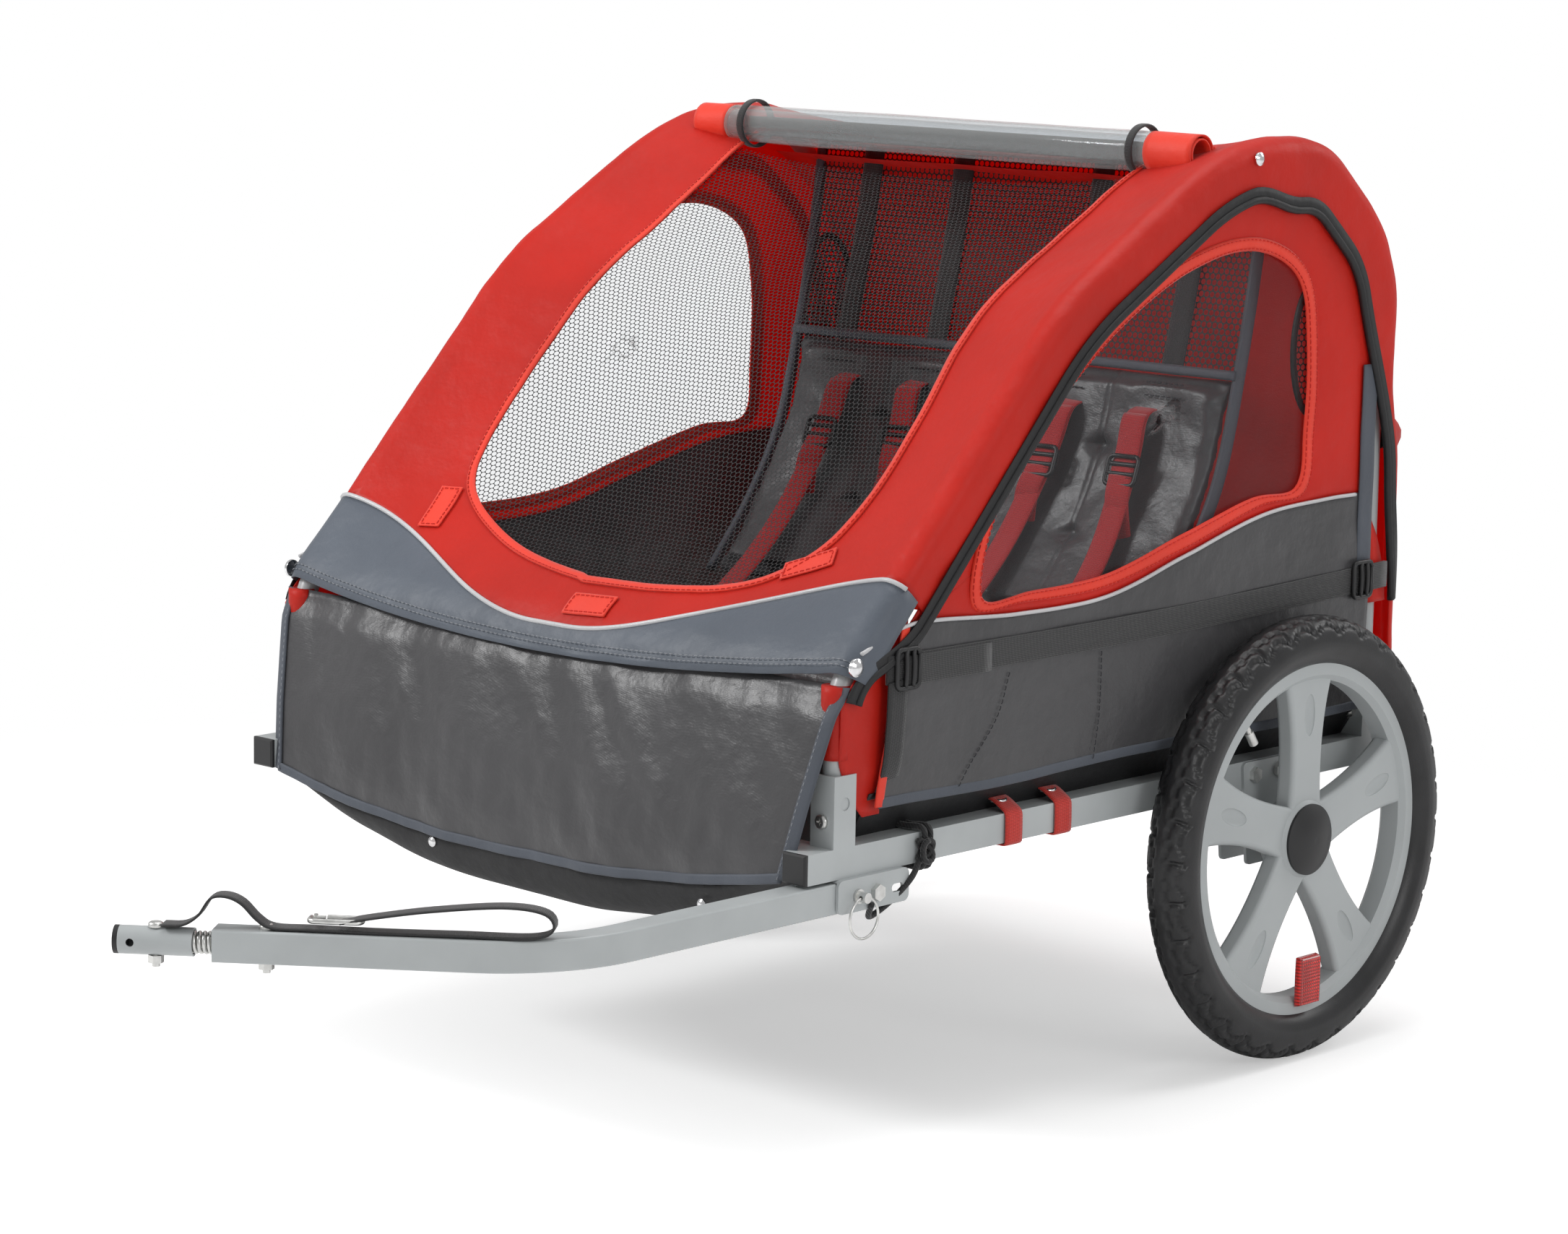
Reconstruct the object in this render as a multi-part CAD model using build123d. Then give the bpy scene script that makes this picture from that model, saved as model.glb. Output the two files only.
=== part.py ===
from build123d import *

import os
from math import atan2, cos, degrees, hypot, radians, sin

# Child bicycle trailer: a two-seat cabin on a steel frame with a side tow arm.
#
# Millimetres. +Z is up, -Y is forward (towards the bicycle), +X is the trailer's left side, where
# the tow arm sits. Every piece is drawn with y = 0 at the wheel axles. The origin of the written
# parts is on the ground, midway between the wheels and under the middle of the overall length.

os.makedirs("parts", exist_ok=True)

# ---------------------------------------------------------------- driving dimensions
GAP = 0.4                 # air between neighbours that don't touch
ORIGIN_Y = -429.3         # from the wheel axles forward to the middle of the overall length
TUBE = 25.4               # square frame tube, outside
TUBE_WALL = 1.6
WHEEL_RADIUS = 200.0      # 16-inch wheel with a 47 mm tyre
TYRE_WIDTH = 47.0
WHEEL_X = 377.0           # tyre centre plane
RAIL_X = 325.3            # side rail centre
RAIL_Z = 253.9
RAIL_FRONT = -603.0
RAIL_REAR = 180.0
PLUG = 4.0                # visible thickness of a tube end plug

HOOP_RADIUS = 9.5
HOOP_WALL = 1.5
HOOP_FRONT = -560.0       # front leg of a hoop
HOOP_REAR = 162.0
HOOP_PIVOT_Z = 288.0
HOOP_CORNERS = [(-560, 395), (-290, 682), (-70, 806), (70, 806), (162, 690)]
HOOP_BENDS = [80, 350, 260, 110, 120]
SOCKET = 26.0             # channel socket, outside
SOCKET_WALL = 3.0
SOCKET_HEIGHT = 59.4
PIVOT_BOLT_RADIUS = 3.0
PIVOT_PLAY = 0.05

CROSSBAR_RADIUS = 8.0
CROSSBAR_Y = 206.0
CROSSBAR_Z = 540.0

ARM_X = 327.3             # tow arm, straight leg beside the cabin
ARM_Z = 225.9
ARM_PIVOT_Y = -526.0
ARM_BEND_Y = -867.0
ARM_END = (115.0, -1029.0)
ARM_BEND_RADIUS = 135.0
LOCK_PIN_Y = -548.0
LOCK_PIN_RADIUS = 3.2
PLATE = 3.0               # bracket plate

SPRING_GAP = 16.0
SPRING_RADIUS = 7.2
SPRING_WIRE = 1.8
COUPLER_RADIUS = 11.1
COUPLER_WALL = 1.5
COUPLER_LENGTH = 58.0
HITCH_HOLE_RADIUS = 3.2
HITCH_HOLE_FROM_TIP = 10.0

AXLE_RADIUS = 6.0
BEARING_RADIUS = 14.0
BEARING_WIDTH = 8.0
RIM_OUTER = 166.0
RIM_INNER = 143.0
RIM_HALF = 14.0
HUB_RADIUS = 36.0
SPOKES = 5

FABRIC = 4.0              # how thick a fabric skin is modelled
FABRIC_INNER = 10.5       # from hoop axis to the inside of the canopy
SIDE_X = 338.6            # inside of the side fabric
HEM_Z = 390.0             # canopy hem at the front
CANOPY_CORNERS = [(-560, 395), (-290, 682), (-70, 806), (60, 806), (152, 728), (212, 530)]
CANOPY_BENDS = [80, 350, 260, 100, 140, 180]
CANOPY_REAR_Z = 300.0
SEAT_HALF = 270.0
WEBBING = 25.0
WEBBING_THICK = 1.6

SIDES = (1, -1)
ARM_ANGLE = degrees(atan2(ARM_END[1] - ARM_BEND_Y, ARM_END[0] - ARM_X))
ARM_DIR = Vector(cos(radians(ARM_ANGLE)), sin(radians(ARM_ANGLE)), 0)
ARM_TIP = Vector(ARM_END[0], ARM_END[1], ARM_Z)
COUPLER_START = ARM_TIP + ARM_DIR * SPRING_GAP
COUPLER_TIP = COUPLER_START + ARM_DIR * COUPLER_LENGTH


# ---------------------------------------------------------------- helpers
def save(shape, name):
    """Write one node, moved so that the middle of the overall length is above the origin."""
    solids = [solid.moved(Location((0, -ORIGIN_Y, 0))) for solid in shape.solids()]
    body = solids[0] if len(solids) == 1 else Compound(children=solids)
    export_step(body, f"parts/{name}.step")


def group(*shapes):
    """Several separate solids in one node."""
    return Compound(children=[solid for shape in shapes for solid in shape.solids()])


def both_sides(shape):
    """A shape and its mirror image across the middle of the trailer."""
    return group(shape, mirror(shape, about=Plane.YZ))


def bar(start, end, radius):
    """Round bar between two points."""
    start, end = Vector(*start), Vector(*end)
    axis = end - start
    plane = Plane(origin=start, z_dir=axis)
    return extrude(plane * Circle(radius), axis.length)


def box(low, high):
    """Box from its lowest to its highest corner."""
    size = [b - a for a, b in zip(low, high)]
    middle = [(a + b) / 2 for a, b in zip(low, high)]
    return Pos(*middle) * Box(*size)


def hexagon(start, end, radius):
    """Hexagonal nut or bolt head between two points on its axis."""
    start, end = Vector(*start), Vector(*end)
    axis = end - start
    plane = Plane(origin=start, z_dir=axis)
    return extrude(plane * RegularPolygon(radius, 6), axis.length)


def offset_corners(points, distance):
    """Corners of a line moved sideways, to the left of its direction, with mitred corners."""
    moved = []
    for index, (x, y) in enumerate(points):
        before = points[max(index - 1, 0)]
        after = points[min(index + 1, len(points) - 1)]
        first = (x - before[0], y - before[1])
        second = (after[0] - x, after[1] - y)
        if index == 0:
            first = second
        if index == len(points) - 1:
            second = first
        first = [value / hypot(*first) for value in first]
        second = [value / hypot(*second) for value in second]
        normal = (-first[1] - second[1], first[0] + second[0])
        length = hypot(*normal)
        reach = distance / (length / 2)
        moved.append((x + normal[0] / length * reach, y + normal[1] / length * reach))
    return moved


def side_view(face, low, high):
    """Extrude a face drawn in (y, z) from x = low to x = high."""
    plane = Plane(origin=(low, 0, 0), x_dir=(0, 1, 0), z_dir=(1, 0, 0))
    return extrude(plane * face, high - low, dir=(1, 0, 0))


def curve_face(line):
    """Face inside a line whose ends are joined by a straight edge."""
    return make_face(line.edges() + [Edge.make_line(line @ 1, line @ 0)])


def sheet_face(points, thickness):
    """Smooth strip of even thickness on a line of (y, z) points, thickened to its left."""
    near = Spline(*points)
    far = Spline(*offset_corners(points, thickness))
    first_end = Edge.make_line(far @ 0, near @ 0)
    last_end = Edge.make_line(near @ 1, far @ 1)
    return make_face([near.edge(), last_end, far.edge(), first_end])


# ---------------------------------------------------------------- frame
def square_tube(low, high, axis):
    """Square tube between two corners, open along the named axis."""
    shift = [0 if name == axis else TUBE_WALL for name in "xyz"]
    inner_low = [a - 1 if name == axis else a + s for a, s, name in zip(low, shift, "xyz")]
    inner_high = [a + 1 if name == axis else a - s for a, s, name in zip(high, shift, "xyz")]
    return box(low, high) - box(inner_low, inner_high)


def left_rail():
    half = TUBE / 2
    low = (RAIL_X - half, RAIL_FRONT, RAIL_Z - half)
    high = (RAIL_X + half, RAIL_REAR, RAIL_Z + half)
    return square_tube(low, high, "y") - carrier_bolt_bores()


def rail_plug(y, outward):
    """Black plug: a cap outside the rail's end and a body pushed inside."""
    half = TUBE / 2
    inner = half - TUBE_WALL - 0.1
    cap_y = sorted((y, y + outward * PLUG))
    body_y = sorted((y, y - outward * 12))
    cap = box((RAIL_X - half, cap_y[0], RAIL_Z - half), (RAIL_X + half, cap_y[1], RAIL_Z + half))
    cap = chamfer(cap.faces().sort_by(Axis.Y)[-1 if outward > 0 else 0].edges(), 1.5)
    low = (RAIL_X - inner, body_y[0], RAIL_Z - inner)
    high = (RAIL_X + inner, body_y[1], RAIL_Z + inner)
    return cap + box(low, high)


def cross_tube(y):
    half = TUBE / 2
    reach = RAIL_X - half
    return square_tube((-reach, y - half, RAIL_Z - half), (reach, y + half, RAIL_Z + half), "x")


def hoop_socket(y):
    """Upright channel on the rail, open to the inside, that the hoop leg pivots in."""
    half = SOCKET / 2
    base = RAIL_Z + TUBE / 2
    outer_x = RAIL_X + TUBE / 2
    channel = box((RAIL_X - half, y - half, base), (outer_x, y + half, base + SOCKET_HEIGHT))
    slot_half = half - SOCKET_WALL
    slot = box((RAIL_X - half - 1, y - slot_half, base - 1), (outer_x - SOCKET_WALL, y + slot_half, 400))
    bore_ends = [(RAIL_X, y + end * (half + 1), HOOP_PIVOT_Z) for end in (-1, 1)]
    bore = bar(*bore_ends, PIVOT_BOLT_RADIUS)
    seat = bar((outer_x - 1, y, base + 36), (outer_x + 1, y, base + 36), 5.5)
    return channel - slot - bore - seat


def socket_bolt(y, outward):
    """Bolt with a domed head, and its nut, across a socket."""
    half = SOCKET / 2
    head_face = y + outward * half
    nut_face = y - outward * half
    head = bar((RAIL_X, head_face, HOOP_PIVOT_Z), (RAIL_X, head_face + outward * 3.6, HOOP_PIVOT_Z), 6.2)
    rim = head.faces().sort_by(Axis.Y)[-1 if outward > 0 else 0].edges()
    head = fillet(rim, 2.2)
    head -= cross_recess((RAIL_X, head_face + outward * 3.6, HOOP_PIVOT_Z))
    shank_end = nut_face - outward * 8
    shank = bar((RAIL_X, head_face, HOOP_PIVOT_Z), (RAIL_X, shank_end, HOOP_PIVOT_Z), PIVOT_BOLT_RADIUS)
    nut = hexagon((RAIL_X, nut_face, HOOP_PIVOT_Z), (RAIL_X, nut_face - outward * 5.5, HOOP_PIVOT_Z), 5.8)
    bore_ends = [(RAIL_X, nut_face + outward * step, HOOP_PIVOT_Z) for step in (1, -9)]
    nut -= bar(*bore_ends, PIVOT_BOLT_RADIUS)
    return group(head + shank, nut)


def cross_recess(middle):
    """Cross-shaped driver recess in a bolt head."""
    return Pos(*middle) * (Box(6, 3, 1.3) + Box(1.3, 3, 6))


def arm_bracket():
    """Channel under the left rail that holds the arm, with pivot, pin and stowing holes."""
    front, rear = ARM_PIVOT_Y - 46, ARM_PIVOT_Y + 40
    top = RAIL_Z - TUBE / 2
    bottom = ARM_Z - TUBE / 2
    inside = TUBE / 2 + GAP
    outside = inside + PLATE
    outline = RectangleRounded(rear - front, top - bottom, 6)
    outline = Pos((front + rear) / 2, (top + bottom) / 2) * outline
    shape = side_view(outline, ARM_X - outside, ARM_X + outside)
    shape += box((ARM_X - outside, front + 6, top - 8), (ARM_X + outside, rear - 6, top))
    shape -= box((ARM_X - inside, front - 1, bottom - 1), (ARM_X + inside, rear + 1, top - 2))
    pivot = bar((ARM_X - 30, ARM_PIVOT_Y, ARM_Z), (ARM_X + 30, ARM_PIVOT_Y, ARM_Z), 4.0)
    pin_ends = [(ARM_X + reach, LOCK_PIN_Y, ARM_Z) for reach in (-30, 30)]
    pin = bar(*pin_ends, LOCK_PIN_RADIUS + PIVOT_PLAY)
    stow_y = 2 * ARM_PIVOT_Y - LOCK_PIN_Y + 4
    slot = Pos(stow_y, ARM_Z) * SlotOverall(14, 2 * LOCK_PIN_RADIUS + 0.6)
    stow = side_view(slot, ARM_X - 30, ARM_X + 30)
    return shape - pivot - pin - stow


def arm_pivot_bolt():
    outside = TUBE / 2 + GAP + PLATE
    start = ARM_X + outside
    end = ARM_X - outside
    head = hexagon((start, ARM_PIVOT_Y, ARM_Z), (start + 4.5, ARM_PIVOT_Y, ARM_Z), 7.2)
    shank = bar((start + 1, ARM_PIVOT_Y, ARM_Z), (end - 9, ARM_PIVOT_Y, ARM_Z), 4.0)
    nut = hexagon((end, ARM_PIVOT_Y, ARM_Z), (end - 6, ARM_PIVOT_Y, ARM_Z), 7.2)
    nut -= bar((end + 1, ARM_PIVOT_Y, ARM_Z), (end - 10, ARM_PIVOT_Y, ARM_Z), 4.0)
    return group(head + shank, nut)


def lock_pin():
    """Pull pin with a collar and a head bored for its ring. The shank stops at the arm's wall."""
    face = ARM_X + TUBE / 2 + GAP + PLATE
    shank = bar((face - PLATE - GAP / 2, LOCK_PIN_Y, ARM_Z), (face + 1, LOCK_PIN_Y, ARM_Z), LOCK_PIN_RADIUS)
    collar = bar((face + 0.2, LOCK_PIN_Y, ARM_Z), (face + 2.2, LOCK_PIN_Y, ARM_Z), 6.0)
    head = bar((face + 2.2, LOCK_PIN_Y, ARM_Z), (face + 11, LOCK_PIN_Y, ARM_Z), 4.4)
    ring_bore = bar((face + 6.8, LOCK_PIN_Y - 8, ARM_Z), (face + 6.8, LOCK_PIN_Y + 8, ARM_Z), 1.9)
    return shank + collar + head - ring_bore


def pin_ring():
    """Wire ring hanging through the head of the pull pin."""
    ring_x = ARM_X + TUBE / 2 + GAP + PLATE + 6.8
    radius = 17.0
    return Pos(ring_x, LOCK_PIN_Y, ARM_Z - radius) * Rot(0, 90, 0) * Torus(radius, 1.1)


def pin_tether():
    """Cord from the pull pin's collar to the rail."""
    face = ARM_X + TUBE / 2 + GAP + PLATE
    x = face + 2
    path = Spline((x, LOCK_PIN_Y + 7.8, ARM_Z - 2), (x + 2, -515, 209), (x, -480, 222), (x, -455, 240))
    section = Plane(origin=path @ 0, z_dir=path % 0) * Circle(1.6)
    return sweep(section, path)


def axle_carrier():
    """Pair of plates hanging from a rail, one each side, that the stub axle bolts through."""
    half = TUBE / 2
    outline = Polygon((-34, 266), (34, 266), (24, 172), (-24, 172), align=None)
    outline = fillet(outline.vertices(), 5)
    inner = side_view(outline, RAIL_X - half - PLATE, RAIL_X - half)
    outer = side_view(outline, RAIL_X + half, RAIL_X + half + PLATE)
    bore = bar((RAIL_X - 30, 0, WHEEL_RADIUS), (RAIL_X + 30, 0, WHEEL_RADIUS), AXLE_RADIUS)
    return group(inner - bore - carrier_bolt_bores(), outer - bore - carrier_bolt_bores())


def carrier_bolt_bores():
    bores = [bar((RAIL_X - 30, y, RAIL_Z), (RAIL_X + 30, y, RAIL_Z), 4.0) for y in (-18, 18)]
    return bores[0] + bores[1]


def carrier_bolts():
    """Two bolts with nuts that clamp the carrier plates on the rail."""
    shapes = []
    outer = RAIL_X + TUBE / 2 + PLATE
    inner = RAIL_X - TUBE / 2 - PLATE
    for y in (-18, 18):
        bolt = hexagon((outer, y, RAIL_Z), (outer + 4.5, y, RAIL_Z), 7.2)
        bolt += bar((outer + 1, y, RAIL_Z), (inner - 8, y, RAIL_Z), 4.0)
        nut = hexagon((inner, y, RAIL_Z), (inner - 6, y, RAIL_Z), 7.2)
        nut -= bar((inner + 1, y, RAIL_Z), (inner - 10, y, RAIL_Z), 4.0)
        shapes += [bolt, nut]
    return group(*shapes)


# ---------------------------------------------------------------- wheels
def wheel_place(shape):
    return Pos(WHEEL_X, 0, WHEEL_RADIUS) * shape


def around_axle(*points):
    """Ring turned about the axle from (x, radius) corners."""
    return revolve(Polygon(*points, align=None), Axis.X)


def rim():
    """Moulded wheel: hub, five flared spokes with dimples, and a channel rim."""
    ring = around_axle(
        (-RIM_HALF, RIM_INNER + 5), (-RIM_HALF + 5, RIM_INNER), (RIM_HALF - 5, RIM_INNER),
        (RIM_HALF, RIM_INNER + 5), (RIM_HALF, RIM_OUTER), (RIM_HALF - 4, RIM_OUTER),
        (RIM_HALF - 6, RIM_OUTER - 8), (-RIM_HALF + 6, RIM_OUTER - 8), (-RIM_HALF + 4, RIM_OUTER),
        (-RIM_HALF, RIM_OUTER))
    hub = around_axle(
        (-19, 0), (-19, HUB_RADIUS - 6), (-15, HUB_RADIUS - 2), (9, HUB_RADIUS), (13, HUB_RADIUS - 4), (13, 0))
    shape = ring + hub
    for index in range(SPOKES):
        shape += Rot(index * 360 / SPOKES, 0, 0) * spoke()
    for index in range(SPOKES):
        shape -= Rot(index * 360 / SPOKES, 0, 0) * spoke_dimples()
    shape -= bar((-30, 0, 0), (30, 0, 0), BEARING_RADIUS - 2)
    shape -= bar((-30, 0, 0), (-19 + BEARING_WIDTH, 0, 0), BEARING_RADIUS)
    shape -= bar((13 - BEARING_WIDTH, 0, 0), (30, 0, 0), BEARING_RADIUS)
    return wheel_place(shape)


def spoke():
    """One upright spoke, waisted in the middle and flared into the rim."""
    root, waist, flare = 24.0, 20.0, 34.0
    side = Spline((root, 20), (waist + 1.5, 55), (waist + 3, 95), (flare, RIM_INNER + 2))
    other = Spline((-flare, RIM_INNER + 2), (-waist - 3, 95), (-waist - 1.5, 55), (-root, 20))
    top = Edge.make_line(side @ 1, other @ 0)
    bottom = Edge.make_line(other @ 1, side @ 0)
    face = make_face([side.edge(), top, other.edge(), bottom])
    blank = side_view(face, -9, 10)
    long_edges = [edge for edge in blank.edges() if edge.length > 100]
    return fillet(long_edges, 4.5)


def spoke_dimples():
    """Long oval hollow in the outer and inner face of one spoke."""
    oval = scale(Sphere(1), by=(3.2, 7.5, 19))
    return Pos(10, 0, 112) * oval + Pos(-9, 0, 112) * oval


def tyre():
    half = TYRE_WIDTH / 2
    outer = Spline((-10.5, 167), (-19, 170), (-half, 181), (-16, 195), (0, WHEEL_RADIUS), (16, 195), (half, 181),
                   (19, 170), (10.5, 167))
    inner = Spline((8.4, 169), (17.5, 173), (20.5, 181), (14, 191), (0, 195.5), (-14, 191), (-20.5, 181),
                   (-17.5, 173), (-8.4, 169))
    left = Edge.make_line(outer @ 1, inner @ 0)
    right = Edge.make_line(inner @ 1, outer @ 0)
    return wheel_place(revolve(make_face([outer.edge(), left, inner.edge(), right]), Axis.X))


def inner_tube():
    ring = Rot(0, 90, 0) * Torus(181.5, 9.2)
    return wheel_place(ring)


def hub_bearings():
    shapes = []
    for low in (-19, 13 - BEARING_WIDTH):
        ring = bar((low, 0, 0), (low + BEARING_WIDTH, 0, 0), BEARING_RADIUS)
        shapes.append(wheel_place(ring - bar((low - 1, 0, 0), (low + 9, 0, 0), AXLE_RADIUS + PIVOT_PLAY)))
    return group(*shapes)


def hub_cap():
    """Domed plastic cap over the hub, pushed on round the axle's end."""
    base = Polyline((23, 4), (23, 0), (19, 0), (19, 11), (13.2, 11), (13.2, 32), (15.5, 32))
    dome = ThreePointArc((15.5, 32), (20.8, 18), (23, 4))
    return wheel_place(revolve(make_face(list(base.edges()) + [dome.edge()]), Axis.X))


def reflector():
    """Spoke reflector with bevelled edges, fixed on the rim's face below the hub."""
    lens = box((14.3, -15, -150), (21.5, 15, -106))
    lens = chamfer(lens.faces().sort_by(Axis.X)[-1].edges(), 2)
    return wheel_place(lens)


def valve():
    """Valve stem with its cap, through the rim towards the hub."""
    turn = Rot(36, 0, 0)
    stem = bar((0, 0, 124), (0, 0, RIM_INNER - 0.3), 3.0) + bar((0, 0, 116), (0, 0, 130), 4.2)
    return wheel_place(turn * stem)


def wheel_axle():
    """Stub axle with a shoulder, from inside the carrier to the hub cap."""
    shoulder_start = RAIL_X + TUBE / 2 + PLATE
    shoulder_end = WHEEL_X - 19 - GAP / 2
    shape = bar((RAIL_X - 28, 0, WHEEL_RADIUS), (WHEEL_X + 15.5, 0, WHEEL_RADIUS), AXLE_RADIUS)
    return shape + bar((shoulder_start, 0, WHEEL_RADIUS), (shoulder_end, 0, WHEEL_RADIUS), 9.0)


def axle_nut():
    inner = RAIL_X - TUBE / 2 - PLATE
    nut = hexagon((inner, 0, WHEEL_RADIUS), (inner - 8, 0, WHEEL_RADIUS), 11)
    return nut - bar((inner + 1, 0, WHEEL_RADIUS), (inner - 9, 0, WHEEL_RADIUS), AXLE_RADIUS)


# ---------------------------------------------------------------- folding hoops
def left_hoop():
    """Bent round tube with both feet rounded about their pivot bolts."""
    foot = HOOP_PIVOT_Z - HOOP_RADIUS
    corners = [(HOOP_FRONT, foot)] + HOOP_CORNERS + [(HOOP_REAR, foot)]
    line = FilletPolyline(*[(RAIL_X, y, z) for y, z in corners], radius=HOOP_BENDS)
    start = Plane(origin=line @ 0, z_dir=line % 0)
    tube = sweep(start * Circle(HOOP_RADIUS), line)
    bore = sweep(start * Circle(HOOP_RADIUS - HOOP_WALL), line)
    shape = tube - bore
    for y in (HOOP_FRONT, HOOP_REAR):
        low = (RAIL_X - 12, y - 12, foot - 3)
        high = (RAIL_X + 12, y + 12, HOOP_PIVOT_Z)
        rounding = bar((RAIL_X, y - 12, HOOP_PIVOT_Z), (RAIL_X, y + 12, HOOP_PIVOT_Z), HOOP_RADIUS)
        bolt_ends = [(RAIL_X, y + reach, HOOP_PIVOT_Z) for reach in (-12, 12)]
        bolt_hole = bar(*bolt_ends, PIVOT_BOLT_RADIUS + PIVOT_PLAY)
        shape -= (box(low, high) - rounding)
        shape -= bolt_hole
    return shape


def rear_crossbar():
    """Spreader bar behind the hoops, with its ends bent forward."""
    end_y = HOOP_REAR + HOOP_RADIUS + 8
    corners = [(-RAIL_X, end_y), (-RAIL_X, CROSSBAR_Y), (RAIL_X, CROSSBAR_Y), (RAIL_X, end_y)]
    line = FilletPolyline(*[(x, y, CROSSBAR_Z) for x, y in corners], radius=22)
    start = Plane(origin=line @ 0, z_dir=line % 0)
    return sweep(start * Circle(CROSSBAR_RADIUS), line) - sweep(start * Circle(CROSSBAR_RADIUS - 1.5), line)


def crossbar_cap():
    """Saddle cap between the crossbar's end and the hoop leg."""
    start_y = HOOP_REAR + HOOP_RADIUS + 8
    cup = bar((RAIL_X, start_y, CROSSBAR_Z), (RAIL_X, start_y - 7, CROSSBAR_Z), 10)
    spigot = bar((RAIL_X, start_y, CROSSBAR_Z), (RAIL_X, start_y + 4, CROSSBAR_Z), CROSSBAR_RADIUS - 1.6)
    return cup + spigot


# ---------------------------------------------------------------- tow arm
def along_arm(distance, side=0.0, up=0.0):
    """Point on the coupler's axis, past the arm's end, moved sideways and up."""
    across = Vector(-ARM_DIR.Y, ARM_DIR.X, 0)
    return ARM_TIP + ARM_DIR * distance + across * side + Vector(0, 0, up)


def arm_section(size, plane):
    return plane * RectangleRounded(size, size, 2.0 if size == TUBE else 0.8)


def tow_arm_tube():
    """Square tube with one bend, bored for its pivot, pin and spring bolt."""
    start = (ARM_X, ARM_PIVOT_Y + TUBE / 2, ARM_Z)
    corner = (ARM_X, ARM_BEND_Y, ARM_Z)
    end = (ARM_END[0], ARM_END[1], ARM_Z)
    line = FilletPolyline(start, corner, end, radius=ARM_BEND_RADIUS)
    plane = Plane(origin=start, x_dir=(1, 0, 0), z_dir=(0, -1, 0))
    shape = sweep(arm_section(TUBE, plane), line) - sweep(arm_section(TUBE - 2 * TUBE_WALL, plane), line)
    left, right = ARM_X - 20, ARM_X + 20
    low = (left, ARM_PIVOT_Y, ARM_Z - 20)
    high = (right, ARM_PIVOT_Y + 20, ARM_Z + 20)
    rounding = bar((left, ARM_PIVOT_Y, ARM_Z), (right, ARM_PIVOT_Y, ARM_Z), TUBE / 2)
    shape -= box(low, high) - rounding
    shape -= bar((left, ARM_PIVOT_Y, ARM_Z), (right, ARM_PIVOT_Y, ARM_Z), 4.0 + PIVOT_PLAY)
    shape -= bar((left, LOCK_PIN_Y, ARM_Z), (right, LOCK_PIN_Y, ARM_Z), LOCK_PIN_RADIUS + PIVOT_PLAY)
    return shape - bar(along_arm(-40, up=-20), along_arm(-40, up=20), 3.0)


def upright_bolt(distance, half_height):
    """Bolt up through a tube, with a domed head on top and a nut below."""
    top = along_arm(distance, up=half_height)
    low = along_arm(distance, up=-half_height)
    up = Vector(0, 0, 1)
    head = bar(top, top + up * 4, 6.0)
    head = fillet(head.faces().sort_by(Axis.Z)[-1].edges(), 2.5)
    shank = bar(top + up, low - up * 9, 3.0)
    nut = hexagon(low, low - up * 6, 6.2) - bar(low + up, low - up * 10, 3.0)
    return group(head + shank, nut)


def coupling_spring():
    """Closely wound coil between the arm and the coupler, seated in both."""
    length = SPRING_GAP + 24
    start = along_arm(-12)
    plane = Plane(origin=start, x_dir=(0, 0, 1), z_dir=ARM_DIR)
    path = Helix(pitch=4.0, height=length, radius=SPRING_RADIUS)
    section = Plane(origin=path @ 0, z_dir=path % 0) * Circle(SPRING_WIRE)
    return plane.location * sweep(section, path, is_frenet=True)


def coupler_tube():
    """Round hitch tube with the cross hole for the hitch pin and a hole for its bolt."""
    shape = bar(COUPLER_START, COUPLER_TIP, COUPLER_RADIUS)
    shape -= bar(COUPLER_START - ARM_DIR, COUPLER_TIP + ARM_DIR, COUPLER_RADIUS - COUPLER_WALL)
    hole = SPRING_GAP + COUPLER_LENGTH - HITCH_HOLE_FROM_TIP
    shape -= bar(along_arm(hole, -20), along_arm(hole, 20), HITCH_HOLE_RADIUS)
    bolt = SPRING_GAP + 30
    return shape - bar(along_arm(bolt, up=-20), along_arm(bolt, up=20), 3.0)


def coupler_plug():
    cap = bar(COUPLER_TIP, COUPLER_TIP + ARM_DIR * 4, COUPLER_RADIUS)
    spigot = bar(COUPLER_TIP, COUPLER_TIP - ARM_DIR * 5, COUPLER_RADIUS - COUPLER_WALL - 0.05)
    return cap + spigot


def safety_strap():
    """Webbing strap: an arch over the coupling, then a long run on top of the arm."""
    bolt = SPRING_GAP + 30
    top = COUPLER_RADIUS + 6
    run = TUBE / 2 + 4
    width = 18
    profile = [(bolt - 6, top), (bolt - 22, top + 1), (2, 36), (-20, 34), (-38, run + 8), (-70, run)]
    profile += [(-130, run), (-210, run)]
    face = sheet_face(profile, WEBBING_THICK)
    plane = Plane(origin=along_arm(0, width / 2), x_dir=ARM_DIR, z_dir=Vector(ARM_DIR.Y, -ARM_DIR.X, 0))
    return extrude(plane * face, width)


def snap_hook():
    """Bent-wire hook lying on the strap, open where its gate closes it."""
    middle = along_arm(-92, up=TUBE / 2 + 9)
    plane = Plane(origin=middle, x_dir=ARM_DIR, z_dir=(0, 0, 1))
    line = FilletPolyline((6, -7, 0), (-20, -7, 0), (-24, 7, 0), (18, 7, 0), (18, -5, 0), radius=5)
    wire = plane.location * line
    section = Plane(origin=wire @ 0, z_dir=wire % 0) * Circle(2.2)
    return sweep(section, wire)


def snap_gate():
    middle = along_arm(-92, up=TUBE / 2 + 9)
    plane = Plane(origin=middle, x_dir=ARM_DIR, z_dir=(0, 0, 1))
    gate = bar((7.5, -7, 0), (15, -7, 0), 1.6)
    hinge_pin = bar((15, -7, -2.6), (15, -7, 2.6), 1.6)
    return plane.location * (gate + hinge_pin)


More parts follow.
